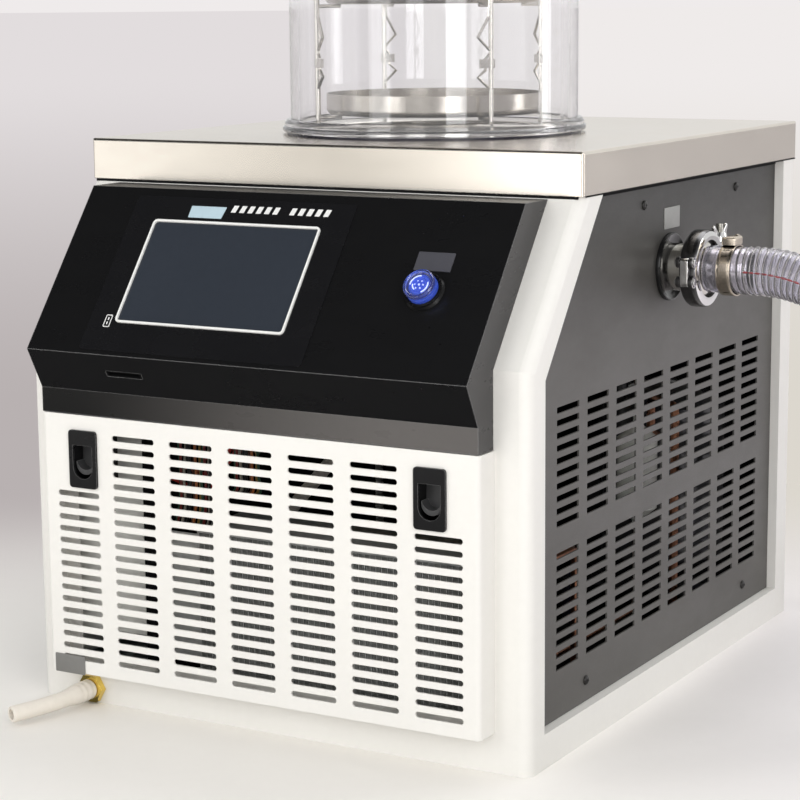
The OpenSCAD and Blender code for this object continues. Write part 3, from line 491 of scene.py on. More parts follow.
@dataclass(frozen=True)
class ClearFinish(Finish):
    """Clear or tinted plastic that light passes through.

    Args:
        clear: share of the light that passes.
        bends: index of refraction.
        glow: strength of the light that the piece gives out.
    """

    clear: float = 1.0
    bends: float = 1.49
    glow: float = 0.0

    def shade(self, desk: Desk, shader: bpy.types.Node) -> None:
        """Adds transmission, and a glow in the piece's own colour.

        Args:
            desk: adds the nodes.
            shader: the material's Principled BSDF.
        """
        super().shade(desk, shader)
        shader.inputs["Transmission Weight"].default_value = self.clear
        shader.inputs["IOR"].default_value = self.bends
        if self.glow:
            shader.inputs["Emission Color"].default_value = (*self.colour, 1)
            shader.inputs["Emission Strength"].default_value = self.glow


WHITE_PAINT = Finish(
    "white_powder_coat", paint(233, 231, 226), 0.42, Grain.SPRAYED, 0.03, tone=0.02, edge=0.6
)
DARK_PANEL = PanelFinish(
    "dark_grey_powder_coat", paint(84, 82, 79), 0.42, Grain.TEXTURED, 0.05, tone=0.06, nibs=0.25,
    nib_tint=paint(108, 106, 102)
)
# Painted highlight: the console finishes below lighten their rounded edges.
CONSOLE_BLACK = Finish(
    "satin_black_lacquer", paint(20, 20, 21), 0.3, Grain.SPRAYED, 0.02, edge=1.1, shine=0.2, edge_highlight=0.5
)
COVER_BLACK = CoverFinish(
    "lacquered_cover", paint(20, 20, 21), 0.3, Grain.SPRAYED, 0.02, scratches=0.0, edge=1.1, shine=0.2,
    edge_highlight=0.9
)
FILM_BLACK = Finish(
    "overlay_film", paint(22, 22, 24), 0.27, Grain.MOULDED, 0.01, tone=0.04, scratches=0.06, edge=0.25,
    shine=0.35
)
ZINC = Finish(
    "zinc_coated_sheet", paint(176, 178, 176), 0.38, Grain.SPANGLE, 0.03, 1.0, tone=0.16, spread=0.1
)
STEEL = Finish("bright_stainless", paint(214, 211, 204), 0.16, Grain.TURNED, 0.003, 1.0, scratches=0.0)
BRUSHED = Finish(
    "brushed_stainless", paint(232, 225, 214), 0.24, Grain.BRUSHED_ACROSS, 0.001, 1.0, tone=0.025,
    spread=0.02, scratches=0.0, edge=0.8
)
SPUN = Finish(
    "spun_stainless", paint(188, 183, 175), 0.24, Grain.TURNED, 0.002, 1.0, spread=0.03, scratches=0.0
)
# Painted shade: the cast alloy and band steel below darken their corners.
CHROME = Finish(
    "polished_cast_alloy", paint(226, 225, 224), 0.07, Grain.CAST, 0.012, 1.0, spread=0.03, scratches=0.0,
    crevice_shade=7.0
)
CAST_SKIN = Finish(
    "cast_alloy_skin", paint(112, 111, 112), 0.2, Grain.CAST, 0.03, 1.0, tone=0.2, spread=0.06,
    scratches=0.0, crevice_shade=7.0
)
SCREW_STEEL = Finish("plated_screw", paint(186, 184, 176), 0.22, Grain.TURNED, 0.01, 1.0, edge=0.25)
WARM_STEEL = Finish(
    "worm_band_steel", paint(216, 204, 188), 0.22, Grain.TURNED, 0.006, 1.0, tone=0.08, scratches=0.0,
    edge=0.2, crevice_shade=2.0
)
DARK_SCREW = Finish("blackened_screw", paint(50, 49, 48), 0.32, Grain.TURNED, 0.01, 0.6, edge=0.25)
BLACK_PLASTIC = Finish(
    "grained_black_plastic", paint(13, 13, 14), 0.28, Grain.MOULDED, 0.02, tone=0.06, edge=0.5, shine=0.22
)
DULL_BLACK = Finish(
    "dull_black_plastic", paint(13, 13, 14), 0.7, Grain.MOULDED, 0.02, scratches=0.0, edge=0.0, shine=0.1
)
# Painted highlight: the latch finishes below lighten their rounded edges.
LATCH_BLACK = Finish(
    "latch_black_plastic", paint(22, 22, 23), 0.3, Grain.MOULDED, 0.02, scratches=0.0, edge=0.7,
    shine=0.22, edge_highlight=0.7
)
LATCH_GREY = Finish(
    "latch_thumb_plastic", paint(62, 62, 63), 0.34, Grain.MOULDED, 0.02, scratches=0.0, edge=0.5, edge_highlight=0.6
)
GLOSS_RIM = Finish("gloss_black_plastic", paint(16, 16, 17), 0.14, Grain.MOULDED, 0.004)
WHITE_PLASTIC = Finish(
    "white_plastic", paint(238, 238, 235), 0.26, Grain.MOULDED, 0.01, tone=0.02, edge=0.5
)
SCREEN = Finish(
    "slate_glass", paint(50, 55, 63), 0.12, Grain.MOULDED, 0.003, tone=0.06, spread=0.03, edge=0.3
)
COPPER = Finish("drawn_copper", paint(158, 112, 88), 0.3, Grain.TURNED, 0.01, 1.0, tone=0.2, spread=0.1)
BRASS = Finish("turned_brass", paint(250, 220, 116), 0.2, Grain.TURNED, 0.01, 1.0, tone=0.1, edge=0.3)
FOAM = Finish(
    "insulation_foam", paint(222, 212, 176), 0.85, Grain.FOAM, 0.6, tone=0.12, nibs=0.2,
    nib_tint=paint(196, 180, 138), scratches=0.0
)
# Black foam lining; the same finish also stands for painted shade in the lid joint and on the electrical
# box.
LINING_AND_SHADE = Finish(
    "black_lining_foam_and_painted_shade", paint(24, 24, 25), 0.9, Grain.FOAM, 0.8, tone=0.2, nibs=0.3,
    nib_tint=paint(6, 6, 6), scratches=0.0, edge=0.0, shine=0.15
)
SILICONE = Finish(
    "milky_silicone", paint(236, 229, 218), 0.42, Grain.MOULDED, 0.03, nibs=0.05,
    nib_tint=paint(200, 192, 172), edge=0.0
)
DARK_SEAL = Finish("dark_seal_rubber", paint(40, 37, 50), 0.3, Grain.MOULDED, 0.03, tone=0.1, edge=0.5)
GLOSS_BLACK = Finish(
    "gloss_black_enamel", paint(58, 58, 60), 0.16, Grain.SPRAYED, 0.06, tone=0.1, edge=0.8, coat=0.5
)
MILL_FINS = Finish(
    "mill_aluminium", paint(196, 197, 195), 0.5, Grain.BRUSHED_UP, 0.01, 0.3, tone=0.2, nibs=0.08,
    nib_tint=paint(196, 196, 190)
)
ENAMEL = Finish("white_enamel", paint(230, 230, 225), 0.22, Grain.SPRAYED, 0.03, tone=0.04, edge=0.8)
INSULATION = Finish(
    "red_wire_insulation", paint(168, 44, 36), 0.4, Grain.MOULDED, 0.02, tone=0.08, edge=0.0
)
PLATE_DARK = Finish(
    "slate_label_plate", paint(74, 74, 80), 0.34, Grain.BRUSHED_ACROSS, 0.01, tone=0.06, edge=0.15
)
PLATE_GREY = Finish(
    "grey_label_plate", paint(124, 123, 120), 0.36, Grain.BRUSHED_ACROSS, 0.01, tone=0.06, edge=0.15
)
PLATE_PALE = Finish(
    "pale_label_plate", paint(160, 160, 157), 0.3, Grain.BRUSHED_UP, 0.01, 0.3, tone=0.08, edge=0.15
)
PALE_BLUE = Finish("pale_blue_window", paint(186, 208, 218), 0.24, Grain.MOULDED, 0.01, edge=0.1)
MARK_WHITE = Finish("printed_white", paint(232, 232, 230), 0.4, Grain.MOULDED, 0.005, tone=0.03, edge=0.0)
RED_THREAD = Finish("red_tracer", paint(196, 40, 48), 0.4, Grain.MOULDED, 0.02, tone=0.1, edge=0.0)
WIRE_COLOURS = tuple(
    Finish(f"wire_{name}", paint(*tint), 0.36, Grain.MOULDED, 0.01, tone=0.06, scratches=0.0, edge=0.0)
    for name, tint in (
        ("black", (20, 20, 21)), ("red", (116, 34, 28)),
        ("orange", (168, 96, 44)), ("dark", (18, 18, 19)),
        ("green", (34, 74, 52)), ("brown", (84, 50, 34)),
        ("white", (150, 144, 132)), ("ochre", (140, 110, 50)),
    )
)
ACRYLIC = ClearFinish(
    "clear_acrylic", paint(254, 254, 255), 0.01, Grain.MOULDED, 0.0006, tone=0.003, spread=0.008,
    scratches=0.0, edge=0.0, clear=0.95
)
HOSE_CLEAR = ClearFinish(
    "clear_hose_wall", paint(236, 235, 245), 0.03, Grain.FOAM, 0.01, tone=0.03, spread=0.03,
    scratches=0.0, edge=0.0, clear=0.95, bends=1.42
)
LENS = ClearFinish(
    "blue_lens", paint(186, 200, 246), 0.05, Grain.MOULDED, 0.003, tone=0.06, scratches=0.0, edge=0.0,
    clear=0.96, coat=0.5
)
LENS_CORE = ClearFinish(
    "blue_reflector", paint(74, 108, 214), 0.2, Grain.MOULDED, 0.004, tone=0.12, scratches=0.0, edge=0.2,
    clear=0.0, glow=0.28, coat=0.8
)
LENS_RIM = ClearFinish(
    "dark_blue_rim", paint(24, 22, 108), 0.1, Grain.MOULDED, 0.004, tone=0.1, scratches=0.0, edge=0.2,
    clear=0.0, glow=0.06, coat=0.8
)
# Lit chips of the pilot lamp; the same glow also draws the painted highlight arcs on its reflector.
LIT_CHIP_AND_HIGHLIGHT = ClearFinish(
    "lit_chip_and_painted_highlight", paint(236, 240, 255), 0.2, Grain.MOULDED, 0.005, edge=0.0, clear=0.0, glow=1.0
)

SLOT_FINISH = {
    "white_paint": WHITE_PAINT,
    "panel_grey": DARK_PANEL,
    "satin_black": CONSOLE_BLACK,
    "galvanised": ZINC,
    "stainless": STEEL,
    "screw_steel": SCREW_STEEL,
    "black_plastic": BLACK_PLASTIC,
    "overlay_film": FILM_BLACK,
    "white_plastic": WHITE_PLASTIC,
    "screen_glass": SCREEN,
    "blue_lens": LENS,
    "clear_acrylic": ACRYLIC,
    "copper": COPPER,
    "brass": BRASS,
    "foam": FOAM,
    "silicone": SILICONE,
    "dark_rubber": DARK_SEAL,
    "compressor_black": GLOSS_BLACK,
    "aluminium_fins": MILL_FINS,
    "white_enamel": ENAMEL,
    "hose_pvc": HOSE_CLEAR,
    "wire_insulation": INSULATION,
}
NODE_FINISH = {
    "console_cover": COVER_BLACK,
    "steel_top": BRUSHED,
    "cold_trap": SPUN,
    "tray_1": SPUN,
    "tray_2": SPUN,
    "tray_3": SPUN,
    "tray_4": SPUN,
    "electrical_box": ENAMEL,
    "usb_socket": DULL_BLACK,
    "latch_housing_left": LATCH_BLACK,
    "latch_housing_right": LATCH_BLACK,
    "latch_slide_left": LATCH_GREY,
    "latch_slide_right": LATCH_GREY,
    "trap_floor": SPUN,
}


# ---------------------------------------------------------------- modelling


def select_only(piece: Piece) -> None:
    """Deselects everything, then selects the piece and makes it active."""
    bpy.ops.object.select_all(action="DESELECT")
    piece.select_set(True)
    bpy.context.view_layer.objects.active = piece


@contextmanager
def editing(piece: Piece, elements: str = "FACE") -> Iterator[None]:
    """Edit mode on one piece, with faces, edges or vertices to select.

    Args:
        piece: the piece to edit.
        elements: FACE, EDGE or VERT.
    """
    select_only(piece)
    bpy.ops.object.mode_set(mode="EDIT")
    bpy.ops.mesh.select_mode(type=elements)
    yield
    bpy.ops.object.mode_set(mode="OBJECT")


def pick(piece: Piece, test: Callable, kind: str = "faces") -> None:
    """Selects, in edit mode, the faces, edges or vertices that pass a test.

    Args:
        piece: the piece in edit mode.
        test: takes one bmesh element and says whether it is selected.
        kind: faces, edges or verts, as the selection mode is.
    """
    bpy.ops.mesh.select_all(action="DESELECT")
    mesh = bmesh.from_edit_mesh(piece.data)
    for element in getattr(mesh, kind):
        element.select_set(bool(test(element)))
    mesh.select_flush_mode()
    bmesh.update_edit_mesh(piece.data)


def pick_all() -> None:
    """Selects everything of the piece in edit mode."""
    bpy.ops.mesh.select_all(action="SELECT")


def middle_of(face: bmesh.types.BMFace) -> Vector:
    """Middle of a face in millimetres."""
    return face.calc_center_median() / MM


def settle(piece: Piece, place: Matrix) -> Piece:
    """Puts a piece that was modelled at the origin in its place, with the place in its mesh.

    Args:
        piece: the piece at the origin.
        place: where its origin and axes go.

    Returns:
        The piece.
    """
    piece.matrix_world = place
    select_only(piece)
    bpy.ops.object.transform_apply(location=True, rotation=True, scale=True)
    return piece


def soften(piece: Piece, angle: float = 35) -> Piece:
    """Shades a piece smooth but for edges sharper than the angle, in degrees."""
    select_only(piece)
    bpy.ops.object.shade_smooth_by_angle(angle=math.radians(angle))
    return piece


def named(name: str) -> Piece:
    """Names the primitive that was just added."""
    piece = bpy.context.active_object
    piece.name = name
    piece.data.name = name
    return piece


def block(name: str, size: Vector, corner: float = 0.0, rim: float = 0.0) -> Piece:
    """Flat block on the plane Z = 0, its upright corners and its upper rim rounded.

    Args:
        name: the piece's name.
        size: length, width and height.
        corner: radius of the four upright edges.
        rim: radius of the upper edges.

    Returns:
        The block, at the origin.
    """
    bpy.ops.object.select_all(action="DESELECT")
    bpy.ops.mesh.primitive_cube_add(size=1, location=ORIGIN)
    piece = named(name)
    with editing(piece, "EDGE"):
        pick_all()
        bpy.ops.transform.translate(value=(0, 0, 0.5))
        bpy.ops.transform.resize(value=tuple(size), center_override=ORIGIN)
        if corner:
            pick(piece, lambda e: abs(e.verts[0].co.z - e.verts[1].co.z) > size.z / 2, "edges")
            bpy.ops.mesh.bevel(offset=corner, segments=5, affect="EDGES")
        if rim:
            top = size.z - 1e-7
            pick(piece, lambda e: min(v.co.z for v in e.verts) > top and len(e.link_faces) == 2
                 and abs(e.link_faces[0].normal.z - e.link_faces[1].normal.z) > 0.5, "edges")
            bpy.ops.mesh.bevel(offset=rim, segments=3, affect="EDGES")
    return piece


def turned(
    name: str, profile: Sequence[tuple[float, float]], steps: int = 64, ring: bool = False
) -> Piece:
    """Turned piece round Z, drawn up ring by ring from a circle.

    Args:
        name: the piece's name.
        profile: radius and height of each ring, in millimetres. A radius of 0 closes that end.
        steps: number of sides.
        ring: True where the last ring joins the first, as on a tube with a wall.

    Returns:
        The piece, at the origin.
    """
    bpy.ops.object.select_all(action="DESELECT")
    radius, height = profile[0]
    start = radius or profile[1][0] * 0.01
    bpy.ops.mesh.primitive_circle_add(vertices=steps, radius=start * MM, location=ORIGIN)
    piece = named(name)
    with editing(piece, "EDGE"):
        pick_all()
        bpy.ops.transform.translate(value=(0, 0, height * MM))
        if not radius:
            bpy.ops.mesh.edge_face_add()
            pick_all()
        now = start
        for radius, level in profile[1:]:
            lift = {"value": (0, 0, (level - height) * MM)}
            bpy.ops.mesh.extrude_edges_move(TRANSFORM_OT_translate=lift)
            grow = (radius or 1e-4) / now
            bpy.ops.transform.resize(value=(grow, grow, 1), center_override=ORIGIN)
            now, height = radius or 1e-4, level
        if not radius:
            bpy.ops.mesh.merge(type="CENTER")
        pick_all()
        if ring:
            bpy.ops.mesh.remove_doubles(threshold=WELD)
        bpy.ops.mesh.normals_make_consistent(inside=False)
    return piece


def outlined(name: str, points: Sequence[Point]) -> Piece:
    """Flat piece with a given outline, drawn corner by corner from one vertex.

    Args:
        name: the piece's name.
        points: corners in order, in millimetres.

    Returns:
        The piece, one face at its place about the origin.
    """
    bpy.ops.object.select_all(action="DESELECT")
    bpy.ops.mesh.primitive_plane_add(size=MM, location=ORIGIN)
    piece = named(name)
    with editing(piece, "VERT"):
        pick_all()
        bpy.ops.mesh.merge(type="CENTER")
        pick_all()
        bpy.ops.transform.translate(value=tuple(millimetres(*points[0])))
        for before, point in zip(points, points[1:]):
            step = tuple(millimetres(*point) - millimetres(*before))
            bpy.ops.mesh.extrude_vertices_move(TRANSFORM_OT_translate={"value": step})
        pick_all()
        bpy.ops.mesh.edge_face_add()
    return piece


def spun(piece: Piece, axis: Point, angle: float, steps: int) -> Piece:
    """Spins an outlined piece part of a turn about an axis through the origin, angle in degrees.

    Args:
        piece: the outline.
        axis: direction of the axis.
        angle: the turn.
        steps: number of steps in it.

    Returns:
        The piece, closed.
    """
    with editing(piece):
        pick_all()
        bpy.ops.mesh.spin(steps=steps, angle=math.radians(angle), center=ORIGIN, axis=axis)
        pick_all()
        bpy.ops.mesh.remove_doubles(threshold=WELD)
        bpy.ops.mesh.normals_make_consistent(inside=False)
    return piece


def thickened(piece: Piece, depth: Vector, rim: float = 0.0) -> Piece:
    """Extrudes an outlined piece, and rounds all its edges where a rim radius is given.

    Args:
        piece: the outline.
        depth: way and length of the extrusion.
        rim: radius of the edges.

    Returns:
        The piece, closed.
    """
    with editing(piece):
        pick_all()
        bpy.ops.mesh.extrude_region_move(TRANSFORM_OT_translate={"value": tuple(depth)})
        pick_all()
        bpy.ops.mesh.normals_make_consistent(inside=False)
        if rim:
            bpy.ops.mesh.bevel(offset=rim, segments=3, affect="EDGES")
    return piece


def joined(name: str, pieces: Sequence[Piece]) -> Piece:
    """Joins pieces into one object with their meshes in place.

    Args:
        name: the new name.
        pieces: what is joined.

    Returns:
        The first piece, which holds them all.
    """
    bpy.ops.object.select_all(action="DESELECT")
    for piece in pieces:
        piece.select_set(True)
    bpy.context.view_layer.objects.active = pieces[0]
    bpy.ops.object.join()
    return named(name)


def copied(piece: Piece, place: Matrix) -> Piece:
    """Copy of a piece with a mesh of its own, in another place.

    Args:
        piece: the model.
        place: where the copy's origin and axes go.

    Returns:
        The copy.
    """
    other = piece.copy()
    other.data = piece.data.copy()
    bpy.context.scene.collection.objects.link(other)
    return settle(other, place)


def cut_out(piece: Piece, cutter: Piece) -> Piece:
    """Cuts one piece out of another and removes the cutter.

    Args:
        piece: what is cut.
        cutter: what cuts it.

    Returns:
        The cut piece.
    """
    cut = piece.modifiers.new("cut", "BOOLEAN")
    cut.object = cutter
    cut.solver = "EXACT"
    select_only(piece)
    bpy.ops.object.modifier_apply(modifier=cut.name)
    bpy.data.objects.remove(cutter)
    return piece


def dress(piece: Piece, *finishes: Finish) -> None:
    """Gives a new piece its materials, in the order of its slots.

    Args:
        piece: the piece.
        finishes: one finish for each slot.
    """
    slots = piece.data.materials
    for k, finish in enumerate(finishes):
        if k < len(slots):
            slots[k] = finish.material()
        else:
            slots.append(finish.material())


def present(
    piece: Piece, slot: str, *finishes: Finish, body: str = CABINET, replaces: Sequence[str] = ()
) -> Piece:
    """Dresses a finished piece, lets it ride on its body and reports it.

    Args:
        piece: the finished piece, in place.
        slot: the record's material slot of the piece; not used.
        finishes: its materials, in the order of its slots.
        body: the body it rides on.
        replaces: construction nodes that it stands for.

    Returns:
        The piece.
    """
    if finishes:
        dress(piece, *finishes)
    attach(piece, body)
    if replaces:
        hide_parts(*replaces)
    LOG.info("%s: %d faces on %s", piece.name, len(piece.data.polygons), body)
    return piece


def axes(x: Vector, y: Vector, z: Vector, origin: Vector) -> Matrix:
    """Place matrix from three directions and an origin.

    Args:
        x, y, z: where the piece's own axes point.
        origin: where its origin goes.

    Returns:
        The matrix.
    """
    place = Matrix((x.normalized(), y.normalized(), z.normalized())).transposed().to_4x4()
    place.translation = origin
    return place


class Facing(Enum):
    """Where a piece's own X, Y and Z point once it is in place."""

    RIGHT = ((0, 1, 0), (0, 0, 1), (1, 0, 0))
    LEFT = ((0, -1, 0), (0, 0, 1), (-1, 0, 0))
    FRONT = ((1, 0, 0), (0, 0, 1), (0, -1, 0))
    BACK = ((-1, 0, 0), (0, 0, 1), (0, 1, 0))
    BACK_HANGING = ((1, 0, 0), (0, 0, -1), (0, 1, 0))
    RIGHT_STANDING = ((0, 0, 1), (0, -1, 0), (1, 0, 0))
    EAR_RIGHT = ((0, 0, -1), (0, 1, 0), (1, 0, 0))
    EAR_LEFT = ((0, 0, 1), (0, 1, 0), (-1, 0, 0))
    UP = ((1, 0, 0), (0, 1, 0), (0, 0, 1))
    UP_ALONG_SIDE = ((0, 1, 0), (-1, 0, 0), (0, 0, 1))

    def at(self, *origin: float) -> Matrix:
        """Place matrix with its origin at a point in metres."""
        return axes(*(Vector(way) for way in self.value), Vector(origin))


def leaning(lean: float) -> tuple[Vector, Vector, Vector]:
    """Ways across, up and out of a face that leans back by an angle in radians.

    Args:
        lean: the angle from upright.

    Returns:
        The three ways.
    """
    rise = Vector((0, math.sin(lean), math.cos(lean)))
    out = Vector((0, -math.cos(lean), math.sin(lean)))
    return Vector((1, 0, 0)), rise, out


# ---------------------------------------------------------------- routes and tubes


class Route:
    """Smooth line through given points, with a direction across it that doesn't twist."""

    def __init__(self, points: Sequence[Vector], step: float) -> None:
        """Draws the line.

        Args:
            points: points that the line passes through, in metres.
            step: spacing of the finished line's points.
        """
        self.line = self.even(self.through(points), step)
        self.ways = self.headings(self.line)
        self.length = step * (len(self.line) - 1)
        side = Vector((0.0, 0.0, 1.0)) if abs(self.ways[0].z) < 0.9 else Vector((1.0, 0.0, 0.0))
        self.sides = []
        for way in self.ways:
            side = (side - way * side.dot(way)).normalized()
            self.sides.append(side)

    @classmethod
    def wound(cls, line: list[Vector], sides: list[Vector]) -> "Route":
        """Route along given points as they are, with given directions across it; its length is 1."""
        route = cls.__new__(cls)
        route.line, route.sides = line, sides
        route.ways = cls.headings(line)
        route.length = 1.0
        return route

    @staticmethod
    def headings(line: Sequence[Vector]) -> list[Vector]:
        """Direction of a line at each of its points."""
        last = len(line) - 1
        return [(line[min(i + 1, last)] - line[max(i - 1, 0)]).normalized() for i in range(last + 1)]

    @staticmethod
    def through(points: Sequence[Vector]) -> list[Vector]:
        """Finely spaced points of a smooth line through the given ones."""
        ends = [2 * points[0] - points[1], *points, 2 * points[-1] - points[-2]]
        found = []
        pieces = 12
        for a, b, c, d in zip(ends, ends[1:], ends[2:], ends[3:]):
            square, cube = 2 * a - 5 * b + 4 * c - d, 3 * b - a - 3 * c + d
            for k in range(pieces):
                t = k / pieces
                found.append(0.5 * (2 * b + (c - a) * t + square * t**2 + cube * t**3))
        return [*found, points[-1].copy()]

    @staticmethod
    def even(points: Sequence[Vector], step: float) -> list[Vector]:
        """Points at an even spacing along a line.

        Args:
            points: the line's own points.
            step: the spacing.

        Returns:
            The new points.
        """
        found, left = [points[0].copy()], step
        for a, b in zip(points, points[1:]):
            span = (b - a).length
            while left <= span:
                found.append(a.lerp(b, left / span))
                left += step
            left -= span
        return found

    def out(self, i: int, turn: float, radius: float) -> Vector:
        """Point beside the line's point i, at an angle round it and a distance from it.

        Args:
            i: number of the point.
            turn: angle in radians.
            radius: the distance.

        Returns:
            The point.
        """
        side = self.sides[i]
        across = self.ways[i].cross(side)
        return self.line[i] + radius * (math.cos(turn) * side + math.sin(turn) * across)


def tube(name: str, route: Route, skins: Sequence[Callable[[float, float], float]], sides: int) -> Piece:
    """Tube along a route, solid with one skin, or with a wall between an outer and an inner skin.

    Args:
        name: the piece's name.
        route: the line that it follows.
        skins: for each skin, its radius from the distance along the route and the angle round it.
        sides: number of sides.

    Returns:
        The tube, with a UV map that has the angle in U, as turns, and the length in V, in metres.
    """
    count = len(route.line)
    spots, faces, marks = [], [], []
    step = route.length / (count - 1)
    for layer, skin in enumerate(skins):
        base = layer * count * sides
        for i in range(count):
            for k in range(sides):
                turn = 2 * math.pi * k / sides
                spots.append(route.out(i, turn, skin(i * step, turn)))
        for i in range(count - 1):
            for k in range(sides):
                a, b = base + i * sides + k, base + i * sides + (k + 1) % sides
                face = (a, b, b + sides, a + sides)
                faces.append(face if layer == 0 else face[::-1])
                left, right, near, far = k / sides, (k + 1) / sides, i * step, (i + 1) * step
                around = ((left, near), (right, near), (right, far), (left, far))
                marks.append(around if layer == 0 else around[::-1])
    inner = count * sides
    for i in (0, count - 1):
        if len(skins) == 1:
            caps = [tuple(range((i + 1) * sides - 1, i * sides - 1, -1))]
        else:
            pairs = [(i * sides + k, i * sides + (k + 1) % sides) for k in range(sides)]
            caps = [(a, a + inner, b + inner, b) for a, b in pairs]
        for cap in caps:
            faces.append(cap if i == 0 else cap[::-1])
            marks.append(((0.0, 0.0),) * len(cap))
    mesh = bpy.data.meshes.new(name)
    mesh.from_pydata(spots, [], faces)
    layer = mesh.uv_layers.new(name="along")
    for polygon, around in zip(mesh.polygons, marks):
        for loop, mark in zip(polygon.loop_indices, around):
            layer.data[loop].uv = mark
    piece = bpy.data.objects.new(name, mesh)
    bpy.context.scene.collection.objects.link(piece)
    return soften(piece, 40)


def smooth_step(value: float, start: float, end: float) -> float:
    """0 before the start, 1 past the end, and smooth between them."""
    t = min(max((value - start) / (end - start), 0.0), 1.0)
    return t * t * (3 - 2 * t)


# ---------------------------------------------------------------- studio


@dataclass
class Studio:
    """Pale floor, soft lamps and the camera.

    Args:
        eye: place of the camera.
        azimuth: where the camera looks from, in degrees round from the front.
        elevation: how far it looks down, in degrees.
        roll: turn about its own axis, in degrees.
        lens: focal length in millimetres on a 36 mm sensor.
        aside: level way to the right of the view.
        ahead: level way into the view.
        aim: point that the lamps face.
        lamp_table: name, place, size and power of each lamp.
    """

    eye: Point = (0.9812, -1.7747, 0.5916)
    azimuth: float = 29.845
    elevation: float = 10.051
    roll: float = -0.495
    lens: float = 102.58
    aside: Point = (0.867, 0.498, 0)
    ahead: Point = (-0.498, 0.867, 0)
    aim: Point = (0.0, -0.1, 0.35)
    lamp_table: tuple = (
        ("key", (-0.56, -2.33, 0.95), (0.76, 1.8), 10.9),
        ("left", (-1.75, -1.6, 0.62), (1.3, 1.1), 4.2),
        ("window", (0.6, -2.32, 1.2), (0.6, 1.36), 5.2),
        ("right", (1.72, -1.67, 0.95), (0.7, 1.8), 16.4),
        ("back_right", (1.92, 1.43, 0.9), (0.46, 1.6), 9.0),
        ("overhead", (0.3, 1.3, 2.8), (2.2, 1.8), 30.0),
    )

    def build(self) -> None:
        """Makes the camera, the floor, the lamps and the background."""
        self.camera()
        self.floor()
        self.lamps()
        self.background()

    def camera(self) -> None:
        """Adds the scene's camera."""
        az, el, roll = (math.radians(v) for v in (self.azimuth, self.elevation, self.roll))
        ahead = Vector((-math.sin(az) * math.cos(el), math.cos(az) * math.cos(el), -math.sin(el)))
        right = ahead.cross(Vector((0, 0, 1))).normalized()
        up = right.cross(ahead)
        tilted_right = math.cos(roll) * right + math.sin(roll) * up
        tilted_up = -math.sin(roll) * right + math.cos(roll) * up
        data = bpy.data.cameras.new("camera")
        data.lens = self.lens
        data.sensor_width = 36
        data.clip_end = 100
        camera = bpy.data.objects.new("camera", data)
        camera.matrix_world = axes(tilted_right, tilted_up, -ahead, Vector(self.eye))
        bpy.context.scene.collection.objects.link(camera)
        bpy.context.scene.camera = camera

    def floor(self) -> None:
        """Adds the bench: pale near the dryer with painted shade towards the right, a backdrop tone far
        behind it with painted shade at its left and close behind the dryer, and a painted dark patch near
        the dryer that only reflections see.
        """
        bpy.ops.object.select_all(action="DESELECT")
        bpy.ops.mesh.primitive_plane_add(size=200, location=ORIGIN)
        floor = named("bench")
        made = bpy.data.materials.new("pale_bench")
        made.use_nodes = True
        desk = Desk(made.node_tree)
        shader = made.node_tree.nodes["Principled BSDF"]
        place = desk.add("TexCoord").outputs["Object"]
        aside = self.along(desk, place, self.aside)
        # Painted shade: the bench turns darker and pinker towards the right.
        pale = desk.mix(desk.ramp(aside, 0.0, 0.6), paint(248, 245, 240), paint(228, 223, 227))
        colour = Finish.effect(desk, Effect.tone(), Color=pale, Amount=0.012, Scale=3.0)
        desk.feed(shader.inputs["Base Color"], colour)
        shader.inputs["Roughness"].default_value = 0.5
        shader.inputs["Specular IOR Level"].default_value = 0.3
        ahead = self.along(desk, place, self.ahead)
        far = desk.ramp(ahead, 0.0, 0.7)
        depth = desk.ramp(desk.math("LOGARITHM", desk.math("MAXIMUM", ahead, 0.1), 10.0), 0.1, 1.2)
        # Painted shade on the backdrop: darker at the left and close behind the dryer.
        left = desk.mix(depth, paint(184, 177, 177), paint(226, 221, 222))
        right = desk.mix(depth, paint(220, 215, 206), paint(239, 235, 234))
        backdrop = desk.mix(desk.ramp(aside, -0.35, 0.45), left, right)
        glow = desk.add("Emission", {"Color": backdrop, "Strength": 1.0})
        ray = desk.add("LightPath").outputs
        seen = desk.math("MAXIMUM", ray["Is Camera Ray"], ray["Is Transmission Ray"])
        share = desk.math("MULTIPLY", far, seen)
        mixed = desk.add("MixShader", {0: share, 1: shader.outputs[0], 2: glow.outputs[0]})
        # Painted shade: reflections see the bench near the dryer as a dark grey patch.
        reach = desk.add(
            "VectorMath", {0: place, 1: (-0.2, -0.6, 0.0)}, operation="DISTANCE"
        ).outputs["Value"]
        near = desk.math("MULTIPLY", desk.ramp(reach, 0.45, 1.0, 0.9, 0.0), ray["Is Glossy Ray"])
        shade = desk.add("Emission", {"Color": paint(60, 60, 64), "Strength": 1.0})
        mixed = desk.add("MixShader", {0: near, 1: mixed.outputs[0], 2: shade.outputs[0]})
        desk.feed(made.node_tree.nodes["Material Output"].inputs["Surface"], mixed.outputs[0])
        floor.data.materials.append(made)

    @staticmethod
    def along(desk: Desk, place: Socket, way: Point) -> Socket:
        """How far a place lies along a direction."""
        return desk.add("VectorMath", {0: place, 1: way}, operation="DOT_PRODUCT").outputs["Value"]

    def lamps(self) -> None:
        """Adds upright soft boxes in front and at the sides, and one overhead."""
        for name, place, size, power in self.lamp_table:
            data = bpy.data.lights.new(name, "AREA")
            data.shape = "RECTANGLE"
            data.size, data.size_y = size
            data.energy = power
            lamp = bpy.data.objects.new(name, data)
            back = (Vector(place) - Vector(self.aim)).normalized()
            across = Vector((0, 0, 1)).cross(back)
            lamp.matrix_world = axes(across, back.cross(across), back, Vector(place))
            bpy.context.scene.collection.objects.link(lamp)

